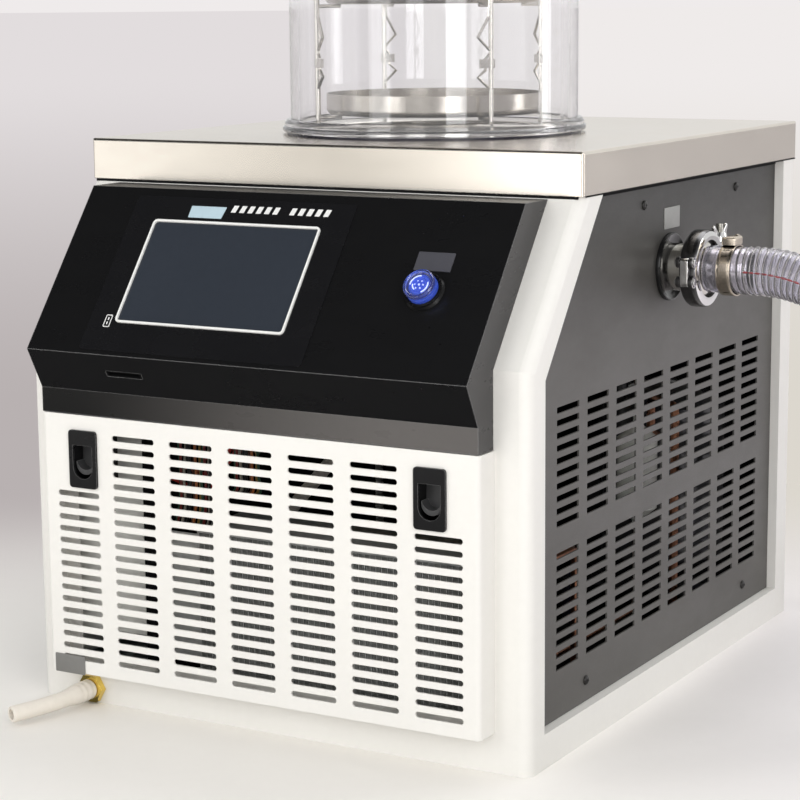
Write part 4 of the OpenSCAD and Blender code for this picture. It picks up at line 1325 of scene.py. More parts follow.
    def background(self) -> None:
        """Makes the world: even light, a pale wall to look at, and a dim upper front to reflect."""
        world = bpy.data.worlds.new("room")
        bpy.context.scene.world = world
        world.use_nodes = True
        desk = Desk(world.node_tree)
        light = world.node_tree.nodes["Background"]
        light.inputs["Color"].default_value = (1, 1, 1, 1)
        light.inputs["Strength"].default_value = 0.62
        way = desk.add("TexCoord").outputs["Generated"]
        dim = desk.ramp(self.along(desk, way, (-0.46, -0.42, 0.78)), 0.3, 0.8, 1.0, 0.03)
        glossy = desk.add("Background", {"Strength": dim})
        wall = desk.add("Background", {"Color": paint(239, 235, 235), "Strength": 1.0})
        ray = desk.add("LightPath").outputs
        shine = desk.add(
            "MixShader", {0: ray["Is Glossy Ray"], 1: light.outputs[0], 2: glossy.outputs[0]}
        )
        seen = desk.math("MAXIMUM", ray["Is Camera Ray"], ray["Is Transmission Ray"])
        mixed = desk.add("MixShader", {0: seen, 1: shine.outputs[0], 2: wall.outputs[0]})
        desk.feed(world.node_tree.nodes["World Output"].inputs["Surface"], mixed.outputs[0])
        bpy.context.scene.view_settings.view_transform = "Standard"


# ---------------------------------------------------------------- cords


@dataclass
class VacuumHose:
    """Clear vacuum hose with a steel spiral in its wall and a red tracer thread.

    Args:
        route: points that the hose follows, in millimetres, from the barb to its small flange.
        outer: outer radius.
        inner: inner radius.
        wire: radius of the spiral's middle and of its wire.
        pitch: rise of the spiral in one turn.
        barb: length that is pushed over the barb.
        stretched: inner radius over the barb.
        tracer_side: angle of the tracer round the hose, in degrees.
    """

    route: tuple[Point, ...] = (
        (264, -1.5, 365), (284, -1.5, 365), (304, -1.5, 365), (324, -2, 364), (345, -3, 360),
        (366, -4.5, 353), (392, -6.5, 340), (421, -8, 320), (449, -8.5, 296), (474, -8.5, 268),
        (495, -8.5, 237), (511, -8.5, 203), (521, -6.5, 169), (526, 1.5, 137), (527, 15, 106),
        (527, 37, 78), (526, 65, 52), (524, 100, 32), (518, 138, 23), (508, 176, 21),
        (490, 214, 21), (468, 250, 21), (441, 281, 21), (409, 307, 21), (373, 324, 22.5),
        (336, 330, 26), (300, 330, 28),
    )
    outer: float = 20.3
    inner: float = 16.6
    wire: tuple[float, float] = (18.5, 0.7)
    pitch: float = 5.8
    barb: float = 44.0
    stretched: float = 18.6
    tracer_side: float = 88.0

    def build(self) -> None:
        points = [millimetres(*p) for p in self.route]
        fine = Route(points, 0.72 * MM)
        wall = tube("vacuum_hose_wall", fine, (self.outside, self.inside), 32)
        present(wall, "hose_pvc", HOSE_CLEAR, replaces=["vacuum_hose"])
        spiral = present(self.spiral(points), "screw_steel", SCREW_STEEL)
        tracer = present(self.tracer(points), "hose_pvc", RED_THREAD)

    def outside(self, along: float, turn: float) -> float:
        """Outer radius: a low ripple that stands over the wire.

        Args:
            along: distance along the hose.
            turn: angle round it in radians.

        Returns:
            The radius in metres.
        """
        phase = 2 * math.pi * along / (self.pitch * MM) - turn
        ripple = 0.75 * (0.5 + 0.5 * math.cos(phase)) ** 2 * smooth_step(along, 28 * MM, 36 * MM)
        return (self.outer - 0.55 + ripple) * MM

    def inside(self, along: float, turn: float) -> float:
        """Inner radius: stretched over the barb at the start, then even."""
        free = smooth_step(along, self.barb * MM, (self.barb + 8) * MM)
        return (self.stretched + (self.inner - self.stretched) * free) * MM

    def spiral(self, points: Sequence[Vector]) -> Piece:
        """Steel wire wound along the hose in its wall."""
        steps = 16
        core = Route(points, self.pitch * MM / steps)
        middle, thick = self.wire
        first, last = 4 * steps, len(core.line) - steps
        wound = []
        for i in range(first, last):
            radius = middle + 0.7 * (1 - smooth_step(i * self.pitch / steps, self.barb, self.barb + 8))
            wound.append(core.out(i, 2 * math.pi * i / steps, radius * MM))
        sides = [(spot - core.line[first + i]).normalized() for i, spot in enumerate(wound)]
        return tube("hose_spiral_wire", Route.wound(wound, sides), (lambda along, turn: thick * MM,), 5)

    def tracer(self, points: Sequence[Vector]) -> Piece:
        """Red thread that runs straight along the wall, just outside the wire."""
        core = Route(points, 6 * MM)
        turn, reach = math.radians(self.tracer_side), (self.wire[0] + 0.5) * MM
        line = Route([core.out(i, turn, reach) for i in range(6, len(core.line) - 3)], 1.2 * MM)
        return tube("hose_tracer_thread", line, (self.thread,), 6)

    def thread(self, along: float, turn: float) -> float:
        """Radius of the tracer, thin where the spiral covers it."""
        return (0.78 if along % (self.pitch * MM) < 3.6 * MM else 0.2) * MM


@dataclass
class DrainTube:
    """Short milky drain tube pushed over the barb of the drain fitting.

    Args:
        route: points that the tube follows, in millimetres, from the barb to its open end.
        outer: outer radius.
        bore: inner radius.
        swell: outer radius where it is stretched over the barb.
    """

    route: tuple[Point, ...] = (
        (-180, -287, 13), (-180, -299, 13), (-180.5, -311, 13), (-182, -323, 12.5),
        (-185, -335, 12), (-189, -346.5, 11.5), (-193.5, -357.5, 11), (-198.5, -368, 10.5),
    )
    outer: float = 7.0
    bore: float = 4.6
    swell: float = 8.6

    def build(self) -> None:
        fine = Route([millimetres(*p) for p in self.route], 1.0 * MM)
        self.end = fine.length
        wall = tube("drain_tube_wall", fine, (self.outside, self.inside), 40)
        present(wall, "silicone", SILICONE, replaces=["drain_tube"])

    def outside(self, along: float, turn: float) -> float:
        """Outer radius: full over the barb, then drawn in; both ends are rounded.

        Args:
            along: distance along the tube.
            turn: angle round it in radians; not used.

        Returns:
            The radius in metres.
        """
        body = self.swell + (self.outer - self.swell) * smooth_step(along, 18 * MM, 32 * MM)
        body += 0.25 * math.cos(along / MM * 0.9) * (1 - smooth_step(along, 14 * MM, 24 * MM))
        from_end = min(along, self.end - along) / MM
        return (body - 0.6 * (1 - smooth_step(from_end, 0.0, 1.2))) * MM

    def inside(self, along: float, turn: float) -> float:
        """Inner radius, opened out where the barb fills it."""
        return (self.bore + 1.2 * (1 - smooth_step(along, 18 * MM, 26 * MM))) * MM


# ---------------------------------------------------------------- construction nodes


class Construction:
    """Finishes of the construction nodes that show as they are."""

    def __init__(self, frame: dict) -> None:
        """Keeps the loaded frame."""
        self.nodes = frame["nodes"]
        self.slots = {p["node"]: p["material_slot"] for p in frame["record"]["subparts"]}

    def build(self) -> None:
        """Assigns a finish to each node by its own name or by its material slot."""
        for name, node in self.nodes.items():
            finish = NODE_FINISH.get(name) or SLOT_FINISH[self.slots[name]]
            for place in node.material_slots:
                place.material = finish.material()
            LOG.info("%s: %s", name, finish.name)


# ---------------------------------------------------------------- console


@dataclass
class ConsoleFace:
    """Places on the sloping face of the console.

    Args:
        lean: angle of the face from vertical, in degrees.
        length: length of the face up the slope, in millimetres.
    """

    lean: float = 37.36
    length: float = 159.0

    def place(self, x: float, up: float, lift: float = 0.0) -> Matrix:
        """Place on the face.

        Args:
            x: distance to the right of the middle, in millimetres.
            up: distance up the slope from the nose, in millimetres.
            lift: distance out of the face, in millimetres.

        Returns:
            Matrix with X across, Y up the slope and Z out of the face.
        """
        low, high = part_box("console_cover")
        lean = math.radians(self.lean)
        across, rise, out = leaning(lean)
        nose = Vector((0, low.y, high.z - self.length * MM * math.cos(lean)))
        spot = nose + rise * up * MM + out * lift * MM
        spot.x = x * MM
        return axes(across, rise, out, spot)


@dataclass
class PilotLamp:
    """Pilot lamp: ribbed blue lens over a ring of lit chips, in a black bezel.

    Args:
        face: the console's face.
        x: place across the face, in millimetres.
        up: place up the face.
        radius: radius of the lens.
        top: height of the lens over the face.
    """

    face: ConsoleFace
    x: float = 144.0
    up: float = 76.5
    radius: float = 12.9
    top: float = 13.4

    def build(self) -> None:
        """Makes the lens, the reflector, the chips and the glowing painted highlight arcs under its
        crown, and the knurled collar.
        """
        place = self.face.place(self.x, self.up)
        present(soften(settle(self.lens(), place), 25), "blue_lens", LENS, replaces=["lamp_lens"])
        present(soften(settle(self.reflector(), place), 25), "blue_lens", LENS_CORE, LENS_RIM)
        # The chips are lit; the three arcs with them are painted highlights that glow.
        lights = joined(
            "pilot_lamp_lights_and_highlights",
            [self.chips(), self.arc(6.9, 185, 95), self.arc(6.9, 20, 80), self.arc(4.6, 240, 60)]
        )
        present(soften(settle(lights, place)), "blue_lens", LIT_CHIP_AND_HIGHLIGHT)
        present(soften(settle(self.collar(), place), 30), "black_plastic", BLACK_PLASTIC)

    def lens(self) -> Piece:
        """Clear blue cap with a rounded rim and a dished crown."""
        r, top = self.radius, self.top
        profile = [
            (0, 2.6), (r, 2.6), (r, top - 1.4), (r - 0.3, top - 0.6), (r - 1.0, top),
            (r - 2.0, top - 0.1), (r - 2.7, top - 0.9)
        ]
        profile += [(r - 3.6, top - 1.3), (r - 6.5, top - 0.9), (0, top - 0.5)]
        return turned("pilot_lamp_lens", profile, 72)

    def reflector(self) -> Piece:
        """Stepped blue body inside the cap, with a dark rim and three bright rings."""
        r, top = self.radius - 0.5, self.top - 2.2
        profile = [
            (0, 2.8), (r, 2.8), (r, 7.2), (r - 0.8, 7.8), (r - 0.9, top - 1.6), (r - 1.4, top - 0.8),
            (r - 3.4, top - 1.6), (r - 3.9, top - 0.9)
        ]
        for k in range(3):
            edge = r - 4.2 - k * 2.4
            profile += [
                (edge, top - 0.1), (edge - 0.8, top), (edge - 1.3, top - 1.1), (edge - 2.0, top - 1.1)
            ]
        profile += [(0, top - 0.9)]
        core = turned("pilot_lamp_reflector", profile, 72)
        with editing(core):
            marked(
                core, lambda f: r - 3.5 < middle_of(f).xy.length < r - 0.6 and middle_of(f).z > top - 2.0
            )
        return core

    def arc(self, radius: float, start: float, sweep: float) -> Piece:
        """Thin glowing band on the reflector's rings, a painted highlight, angles in degrees.

        Args:
            radius: its inner radius.
            start: where it starts.
            sweep: how far it goes.

        Returns:
            The arc.
        """
        z = self.top - 2.3
        band = outlined(
            "arc",
            [(radius, 0, z), (radius + 1.1, 0, z), (radius + 1.1, 0, z + 0.35), (radius, 0, z + 0.35)]
        )
        spun(band, (0, 0, 1), sweep, 14)
        return settle(band, Matrix.Rotation(math.radians(start), 4, "Z"))

    def chips(self) -> Piece:
        """Six small domes in a ring and one in the middle."""
        dots = []
        for k in range(7):
            turn = 2 * math.pi * k / 6
            reach = 3.2 if k < 6 else 0.0
            bpy.ops.object.select_all(action="DESELECT")
            bpy.ops.mesh.primitive_uv_sphere_add(
                segments=14, ring_count=8, radius=0.85 * MM, location=ORIGIN
            )
            dot = named("chip")
            with editing(dot):
                pick_all()
                bpy.ops.mesh.bisect(plane_co=ORIGIN, plane_no=(0, 0, 1), use_fill=True, clear_inner=True)
            spot = millimetres(reach * math.cos(turn), reach * math.sin(turn), self.top - 3.0)
            dots.append(settle(dot, Matrix.Translation(spot)))
        return joined("pilot_lamp_chips", dots)

    def collar(self) -> Piece:
        """Collar between the lens and the bezel, with small grip notches."""
        profile = [
            (12.95, 2.5), (15.2, 2.6), (15.6, 3.6), (15.1, 4.6), (13.6, 4.9), (12.95, 4.2), (12.95, 2.5)
        ]
        collar = turned("pilot_lamp_collar", profile, 72, ring=True)
        with editing(collar):
            pick(collar, lambda f: f.normal.z > 0.2 and self.third(middle_of(f)))
            bpy.ops.mesh.inset(thickness=0.15 * MM, use_individual=True)
            bpy.ops.transform.translate(value=(0, 0, -0.2 * MM))
        return collar

    @staticmethod
    def third(spot: Vector) -> bool:
        """Whether a spot lies in every third of the collar's 5 degree sectors."""
        return round(math.degrees(math.atan2(spot.y, spot.x)) / 5 - 0.5) % 3 == 0


def marked(piece: Piece, test: Callable) -> None:
    """Gives the faces that pass a test the piece's second material; edit mode must be on.

    Args:
        piece: the piece in edit mode.
        test: takes a face and says whether it is marked.
    """
    while len(piece.data.materials) < 2:
        piece.data.materials.append(None)
    pick(piece, test)
    piece.active_material_index = 1
    bpy.ops.object.material_slot_assign()


@dataclass
class ScreenBezel:
    """Slim pale frame round the screen, on a low black foot.

    Args:
        face: the console's face.
        foot: width of the foot outside the pale frame, in millimetres.
        width: width of the pale frame's top.
        proud: height of the plain frame that it stands for.
        middle: place of its middle up the face.
    """

    face: ConsoleFace
    foot: float = 0.7
    width: float = 1.25
    proud: float = 3.0
    middle: float = 79.15

    def build(self) -> None:
        """Makes the frame from a rounded block, by insets and a lift."""
        low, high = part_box("screen_bezel")
        wide = (high.x - low.x) / MM
        slope = self.face.place(0, 0).to_3x3().col[1]
        tall = (
            (high.y - low.y) * slope.y + (high.z - low.z) * slope.z
        ) / MM - self.proud * 2 * slope.y * slope.z
        frame = block("screen_bezel_frame", millimetres(wide, tall, 0.5), 4.6 * MM)
        with editing(frame):
            pick(frame, lambda f: f.normal.z > 0.9)
            bpy.ops.mesh.inset(thickness=self.foot * MM)
            bpy.ops.mesh.extrude_region_move(TRANSFORM_OT_translate={"value": (0, 0, 1.5 * MM)})
            bpy.ops.mesh.inset(thickness=0.3 * MM, depth=0.2 * MM)
            bpy.ops.mesh.inset(thickness=self.width * MM)
            bpy.ops.mesh.inset(thickness=0.3 * MM, depth=-0.2 * MM)
            bpy.ops.mesh.extrude_region_move(TRANSFORM_OT_translate={"value": (0, 0, -1.9 * MM)})
            bpy.ops.mesh.delete(type="FACE")
            pick(frame, lambda f: f.normal.z < -0.9)
            bpy.ops.mesh.delete(type="FACE")
            marked(frame, lambda f: middle_of(f).z < 0.6 and f.normal.z > -0.5)
        with editing(frame, "EDGE"):
            pick(frame, lambda e: e.is_boundary, "edges")
            bpy.ops.mesh.bridge_edge_loops()
        place = self.face.place((low.x + high.x) / 2 / MM, self.middle)
        present(
            soften(settle(frame, place), 35), "white_plastic", WHITE_PLASTIC, FILM_BLACK,
            replaces=["screen_bezel"]
        )


@dataclass
class ConsoleMarks:
    """Bare plates and plain marks on the console.

    Args:
        face: the console's face.
    """

    face: ConsoleFace

    def build(self) -> None:
        """Makes the lamp's plate, the pale window, the row of bars and the socket mark."""
        self.plate()
        self.window()
        self.bars()
        self.socket_mark()

    def plate(self) -> None:
        """Bare grey plate above the pilot lamp."""
        piece = block("lamp_label_plate", millimetres(31.9, 16.5, 0.9), 0.6 * MM, 0.2 * MM)
        settle(piece, self.face.place(143.9, 103.2, 0.0))
        present(soften(piece), "panel_grey", PLATE_DARK)

    def window(self) -> None:
        """Pale window with a slanted right end, over the screen."""
        piece = block("status_window", millimetres(32.6, 11.1, 0.35), 0.5 * MM, 0.1 * MM)
        with editing(piece, "VERT"):
            pick(piece, lambda v: v.co.x > 10 * MM and v.co.y > 2 * MM, "verts")
            bpy.ops.transform.translate(value=(1.6 * MM, 0, 0))
        settle(piece, self.face.place(-79.9, 137.35, 0.6))
        present(soften(piece), "white_plastic", PALE_BLUE)

    def bars(self) -> None:
        """Plain slanted bars beside the window, in two groups."""
        bars = []
        for k in [*range(6), *range(7, 12)]:
            bar = block("bar", millimetres(4.6, 6.6, 0.12), 0.3 * MM)
            with editing(bar, "VERT"):
                pick(bar, lambda v: v.co.y > 0, "verts")
                bpy.ops.transform.translate(value=(1.4 * MM, 0, 0))
            bars.append(settle(bar, self.face.place(-54.4 + 8.0 * k, 141.6, 0.6)))
        present(soften(joined("console_bars", bars)), "white_plastic", MARK_WHITE)

    def socket_mark(self) -> None:
        """Small plain outline by the data socket, with a bar in it."""
        outline = block("outline", millimetres(6.4, 11.5, 0.12), 1.2 * MM)
        with editing(outline):
            pick(outline, lambda f: f.normal.z > 0.9)
            bpy.ops.mesh.inset(thickness=0.8 * MM)
            bpy.ops.transform.translate(value=(0, 0, -0.08 * MM))
            marked(outline, lambda f: f.normal.z > 0.9 and middle_of(f).z < 0.06)
        settle(outline, self.face.place(-134.8, 31.0, 0.6))
        dress(outline, MARK_WHITE, FILM_BLACK)
        bars = [
            settle(
                block("bar", millimetres(1.1, 2.6, 0.14), 0.3 * MM),
                self.face.place(-134.8, 31.0 + way * 2.0, 0.6)
            )
            for way in (-1, 1)
        ]
        present(soften(joined("socket_mark", [outline, *bars])), "white_plastic", MARK_WHITE, FILM_BLACK)


# ---------------------------------------------------------------- fasteners and plates


@dataclass
class PanelScrews:
    """Pan-head screws with a cross recess, in place of the plain ones.

    Args:
        head: radius of the head, in millimetres.
        rise: height of the head.
    """

    head: float = 4.0
    rise: float = 2.4

    def build(self) -> None:
        """Makes the side screws and the rear screws."""
        model = self.screw()
        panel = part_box("side_panel_screws")[1].x - self.rise * MM
        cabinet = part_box("cabinet_frame")[0].y
        side = []
        for y, z in ((225.6, 421), (427.9, 421), (118.3, 46), (461.7, 46)):
            for way, facing in ((-1, Facing.LEFT), (1, Facing.RIGHT)):
                side.append(copied(model, facing.at(way * panel, cabinet + y * MM, z * MM)))
        screws = soften(joined("side_screws", side))
        present(screws, "screw_steel", DARK_SCREW, replaces=["side_panel_screws"])
        low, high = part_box("rear_panel_screws")
        rear = []
        for x in (low.x + self.head * MM, high.x - self.head * MM):
            for z in (low.z + self.head * MM, 220 * MM, high.z - self.head * MM):
                rear.append(copied(model, Facing.BACK.at(x, high.y - self.rise * MM, z)))
        screws = soften(joined("rear_screws", rear))
        present(screws, "screw_steel", SCREW_STEEL, replaces=["rear_panel_screws"])
        bpy.data.objects.remove(model)

    def screw(self) -> Piece:
        """One screw at the origin, its head on the plane Z = 0."""
        head, rise = self.head, self.rise
        profile = [(0, -8), (1.6, -8), (2, -7), (2, 0), (head, 0), (head, 0.7), (head - 0.35, 1.35)]
        profile += [(head - 1.1, 1.95), (head - 2.2, 2.3), (0, rise)]
        piece = turned("screw", profile, 28)
        arms = [block("arm", millimetres(*size, 3.0)) for size in ((4.4, 1.0), (1.0, 4.4))]
        for arm in arms:
            with editing(arm):
                pick(arm, lambda f: f.normal.z < -0.9)
                bpy.ops.transform.resize(value=(0.45, 0.45, 1), center_override=ORIGIN)
            settle(arm, Matrix.Translation((0, 0, 0.9 * MM)))
            cut_out(piece, arm)
        return piece


@dataclass
class LabelPlates:
    """Bare engraved plates on the vent cover and over the vacuum port."""

    def build(self) -> None:
        """Makes both plates."""
        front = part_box("front_cover")[0].y
        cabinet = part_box("cabinet_frame")[0].y
        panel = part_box("right_side_panel")[1].x
        plate = block("drain_label_plate", millimetres(30.7, 16.0, 0.8), 0.6 * MM, 0.2 * MM)
        settle(plate, Facing.FRONT.at(-184.55 * MM, front, 39.4 * MM))
        present(soften(plate), "panel_grey", PLATE_GREY)
        plate = block("port_label_plate", millimetres(31.8, 17.9, 0.8), 0.6 * MM, 0.2 * MM)
        settle(plate, Facing.RIGHT.at(panel, cabinet + 283.3 * MM, 406.1 * MM))
        present(soften(plate), "panel_grey", PLATE_PALE)


# ---------------------------------------------------------------- vacuum port


@dataclass
class SwingClamp:
    """Polished swing-bolt clamp on the vacuum port: two grooved halves, link and wing nut.

    Args:
        radius: outer radius of the halves, in millimetres.
        mouth: inner radius of their side faces.
        width: half of their width.
        groove: radius of the groove's floor.
    """

    radius: float = 32.5
    mouth: float = 24.2
    width: float = 8.0
    groove: float = 27.7

    def build(self) -> None:
        """Makes the halves, the link and the wing nut."""
        low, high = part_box("clamp_upper")
        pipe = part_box("port_pipe")
        self.middle = Vector(
            ((low.x + high.x) / 2, (pipe[0].y + pipe[1].y) / 2, (pipe[0].z + pipe[1].z) / 2)
        )
        self.half("clamp_half_upper", 1, "clamp_upper")
        self.half("clamp_half_lower", -1, "clamp_lower")
        self.link()
        self.wing_nut()

    def half(self, name: str, side: int, node: str) -> None:
        """One half of the ring, with a pair of ears for the bolt and a pair for the link.

        Args:
            name: the piece's name.
            side: 1 for the upper half and -1 for the lower one.
            node: the construction node that it stands for.
        """
        w, r, m, g = self.width, self.radius, self.mouth, self.groove
        outline = [
            (-w, m), (-w, r - 3.4), (-w + 0.9, r - 1.4), (-w + 2.8, r - 0.2), (-2.4, r), (2.4, r),
            (w - 2.8, r - 0.2)
        ]
        outline += [(w - 0.9, r - 1.4), (w, r - 3.4), (w, m), (5.4, m), (4.55, g), (-4.55, g), (-5.4, m)]
        ring = outlined("half", [(x, q, 0.0) for x, q in outline])
        spun(ring, (1, 0, 0), 168, 42)
        turn = Matrix.Rotation(math.radians(6 if side > 0 else 186), 4, "X")
        pieces = [settle(ring, turn)]
        for x in (-5.75, 5.75):
            pieces.append(self.ear((x, 27.4, side * 12.5), (3.6, 17.0, 13.5), 3.2))
            pieces.append(self.ear((x, -33.2, side * 8.2), (3.6, 10.5, 9.6), 4.2))
        shell = joined(name, pieces)
        with editing(shell):
            marked(shell, lambda f: abs(f.normal.x) < 0.8)
        settle(shell, Matrix.Translation(self.middle))
        present(soften(shell, 32), "stainless", CHROME, CAST_SKIN, replaces=[node])

    def ear(self, spot: Point, size: Point, corner: float) -> Piece:
        """One upright ear, its corners rounded about X and its outer face softened.

        Args:
            spot: middle of the ear.
            size: its thickness, depth and height.
            corner: radius of its corners.

        Returns:
            The ear.
        """
        thick, deep, tall = size
        ear = block("ear", millimetres(tall, deep, thick), corner * MM, 0.7 * MM)
        x, y, z = spot
        way, facing = (1, Facing.EAR_RIGHT) if x > 0 else (-1, Facing.EAR_LEFT)
        return settle(ear, facing.at(*millimetres(x - way * thick / 2, y, z)))

    def link(self) -> None:
        """Rounded link between the halves, on two headed pins."""
        pieces = []
        bar = block("bar", millimetres(24.0, 7.4, 6.8), 3.4 * MM, 0.8 * MM)
        pieces.append(settle(bar, Facing.RIGHT_STANDING.at(*millimetres(-3.4, -34.3, 0))))
        profile = [
            (0, -9), (2.2, -9), (2.9, -8.4), (2.9, -7.7), (1.6, -7.6), (1.6, 7.6), (2.9, 7.7), (2.9, 8.4),
            (2.2, 9), (0, 9)
        ]
        for z in (-8, 8):
            pin = turned("pin", profile, 20)
            pieces.append(settle(pin, Facing.RIGHT.at(*millimetres(0, -34.5, z))))
        link = joined("clamp_link_bar", pieces)
        settle(link, Matrix.Translation(self.middle))
        present(soften(link), "stainless", CHROME, replaces=["clamp_link"])

    def wing_nut(self) -> None:
        """Wing nut: a cone with two splayed, rounded wings."""
        low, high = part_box("wing_nut")
        foot = Vector(((low.x + high.x) / 2, (low.y + high.y) / 2, low.z))
        profile = [
            (3.1, 0), (7.0, 0), (7.5, 0.6), (7.3, 1.4), (5.9, 8.2), (5.2, 9.0), (3.6, 9.0), (3.1, 8.5),
            (3.1, 0)
        ]
        pieces = [turned("hub", profile, 40, ring=True)]
        corners = [
            (4.0, 0.9), (8.6, 0.7), (11.6, 4.4), (14.6, 10.2), (15.4, 13.6), (14.4, 15.2), (12.2, 15.0),
            (8.8, 11.6), (4.2, 8.4)
        ]
        for side in (-1, 1):
            wing = outlined("wing", [(-1.5, side * y, z) for y, z in corners])
            pieces.append(thickened(wing, millimetres(3.0, 0, 0), 0.9 * MM))
        nut = joined("wing_nut_cast", pieces)
        settle(nut, Matrix.Translation(foot))
        present(soften(nut, 40), "screw_steel", CHROME, body="wing_nut", replaces=["wing_nut"])


@dataclass
class PortFittings:
    """Small parts of the vacuum port: wall flange, hose barb, bolt thread, gasket and worm clamp."""

    def build(self) -> None:
        """Makes the wall flange, the barb, the thread, the gasket and the worm clamp."""
        self.wall_flange()
        self.barb()
        self.thread()
        self.gasket()
        self.worm_clamp()

    def wall_flange(self) -> None:
        """Dished black flange round the pipe, its rim standing proud."""
        low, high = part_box("port_flange")
        rim = (high.z - low.z) / 2 / MM
        deep = (high.x - low.x) / MM
        profile = [
            (17.8, 0), (rim - 0.4, 0), (rim, 0.5), (rim, 2.4), (rim - 0.5, deep - 0.3), (rim - 1.3, deep)
        ]
        profile += [
            (rim - 2.2, deep - 0.3), (rim - 4.2, 2.4), (rim - 7.5, 1.5), (19.6, 1.3), (18.6, 1.9),
            (17.8, 2.6), (17.8, 0)
        ]
        flange = turned("port_wall_flange", profile, 96, ring=True)
        settle(flange, Facing.RIGHT.at(low.x, (low.y + high.y) / 2, (low.z + high.z) / 2))
        present(soften(flange, 30), "satin_black", GLOSS_RIM, replaces=["port_flange"])

    def barb(self) -> None:
        """Polished adapter: small flange with a cone back, a neck and four barbs in the hose."""
        low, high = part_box("hose_adapter")
        long = (high.x - low.x) / MM
        rim = (high.z - low.z) / 2 / MM
        profile = [
            (15, 0), (rim - 0.3, 0), (rim, 0.3), (rim, 2.7), (rim - 0.4, 3.05), (17.4, 5.8), (16.6, 6.4),
            (16.6, 10), (17.4, 10.6)
        ]
        profile += [(17.4, 15), (16.6, 15.6)]
        for k in range(4):
            start = 19.5 + k * 6
            profile += [(16.6, start - 0.3), (18.4, start), (18.2, start + 0.6), (16.8, start + 5.3)]
        profile += [(16.4, long - 0.4), (16.0, long), (15, long), (15, 0)]
        adapter = turned("hose_barb_adapter", profile, 96, ring=True)
        settle(adapter, Facing.RIGHT.at(low.x, (low.y + high.y) / 2, (low.z + high.z) / 2))
        present(soften(adapter, 30), "stainless", STEEL, replaces=["hose_adapter"])

    def thread(self) -> None:
        """Thread on the swing bolt, as one wound ridge."""
        low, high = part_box("clamp_bolt")
        middle = (low + high) / 2
        pitch, radius, per_turn = 1.0 * MM, 2.86 * MM, 20
        start, end = low.z + 12 * MM, high.z - 1 * MM
        points = []
        for i in range(int((end - start) / pitch * per_turn) + 1):
            turn = 2 * math.pi * i / per_turn
            across = Vector((radius * math.cos(turn), radius * math.sin(turn), 0))
            points.append(Vector((middle.x, middle.y, start + pitch * i / per_turn)) + across)
        line = Route.wound(points, [Vector((0, 0, 1))] * len(points))
        ridge = tube("bolt_thread", line, (lambda along, turn: 0.36 * MM,), 4)
        present(ridge, "screw_steel", SCREW_STEEL)

    def gasket(self) -> None:
        """Rubber ring between the two flanges."""
        low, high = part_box("centering_ring")
        middle = (low + high) / 2
        bpy.ops.object.select_all(action="DESELECT")
        bpy.ops.mesh.primitive_torus_add(
            major_segments=72, minor_segments=14, major_radius=24.4 * MM, minor_radius=1.9 * MM
        )
        ring = named("port_gasket")
        with editing(ring):
            pick_all()
            bpy.ops.transform.resize(value=(1, 1, 0.78), center_override=ORIGIN)
        settle(ring, Facing.RIGHT.at(*middle))
        present(soften(ring), "dark_rubber", DARK_SEAL)

    def worm_clamp(self) -> None:
        """Slotted steel band round the hose, with its screw housing and screw."""
        low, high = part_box("hose_band")
        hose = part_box("hose_adapter")
        axis_y, axis_z = (hose[0].y + hose[1].y) / 2, (hose[0].z + hose[1].z) / 2
        middle = Vector(((low.x + high.x) / 2, axis_y, axis_z))
        profile = [
            (20.5, -6), (21.5, -6), (21.7, -5.6), (21.7, -3), (21.7, 3), (21.7, 5.6), (21.5, 6),
            (20.5, 6), (20.5, -6)
        ]
        band = turned("band", profile, 96, ring=True)
        with editing(band):
            pick(band, self.slotted)
            bpy.ops.mesh.inset(thickness=0.2 * MM, use_individual=True)
            bpy.ops.mesh.extrude_faces_move(TRANSFORM_OT_shrink_fatten={"value": -0.6 * MM})
        settle(band, Facing.RIGHT.at(*middle))
        house = block("house", millimetres(18, 12, 6.6), 1.2 * MM, 1.6 * MM)
        settle(house, Facing.UP_ALONG_SIDE.at(*(middle + millimetres(0, 0, 21.3))))
        head = turned("head", [(0, 0), (3.4, 0), (3.4, 4.6), (2.9, 5.4), (0, 5.4)], 6)
        slot = settle(block("slot", millimetres(8, 1.1, 2)), Matrix.Translation(millimetres(0, 0, 4.2)))
        cut_out(head, slot)
        settle(head, Facing.BACK_HANGING.at(*(middle + millimetres(0, 9, 25.4))))
        clamp = joined("worm_clamp", [band, house, head])
        present(soften(clamp), "screw_steel", WARM_STEEL, replaces=["hose_band"])

    @staticmethod
    def slotted(face: bmesh.types.BMFace) -> bool:
        """Whether a face of the band has a worm slot: every second one but those under the screw."""
        spot, turn = middle_of(face), math.atan2(face.normal.y, face.normal.x)
        outside = abs(spot.z) < 1 and spot.xy.length > 21.6
        return outside and turn > -2.2 and round(turn * 48 / math.pi) % 2 == 1


# ---------------------------------------------------------------- chamber and inside


@dataclass
class DrumFoot:
    """Clear foot ring of the drum, its outer edge rolled and stepped."""

    def build(self) -> None:
        """Makes the ring."""
        low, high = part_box("drum_flange")
        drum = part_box("drum_tube")
        rim = (high.x - low.x) / 2 / MM
        wall = (drum[1].x - drum[0].x) / 2 / MM + 0.05
        tall = (high.z - low.z) / MM
        profile = [
            (wall, 0), (rim - 2.4, 0), (rim - 0.9, 0.4), (rim - 0.1, 1.5), (rim, 3.0), (rim - 0.5, 4.4),
            (rim - 1.5, 5.1)
        ]
        profile += [
            (rim - 2.1, 5.6), (rim - 2.0, 6.6), (rim - 2.2, 8.4), (rim - 2.9, 9.7), (rim - 4.0, tall),
            (wall, tall), (wall, 0)
        ]
        ring = turned("drum_foot_ring", profile, 160, ring=True)
        centre = (low + high) / 2
        settle(ring, Matrix.Translation((centre.x, centre.y, low.z)))
        present(soften(ring, 30), "clear_acrylic", ACRYLIC, replaces=["drum_flange"])


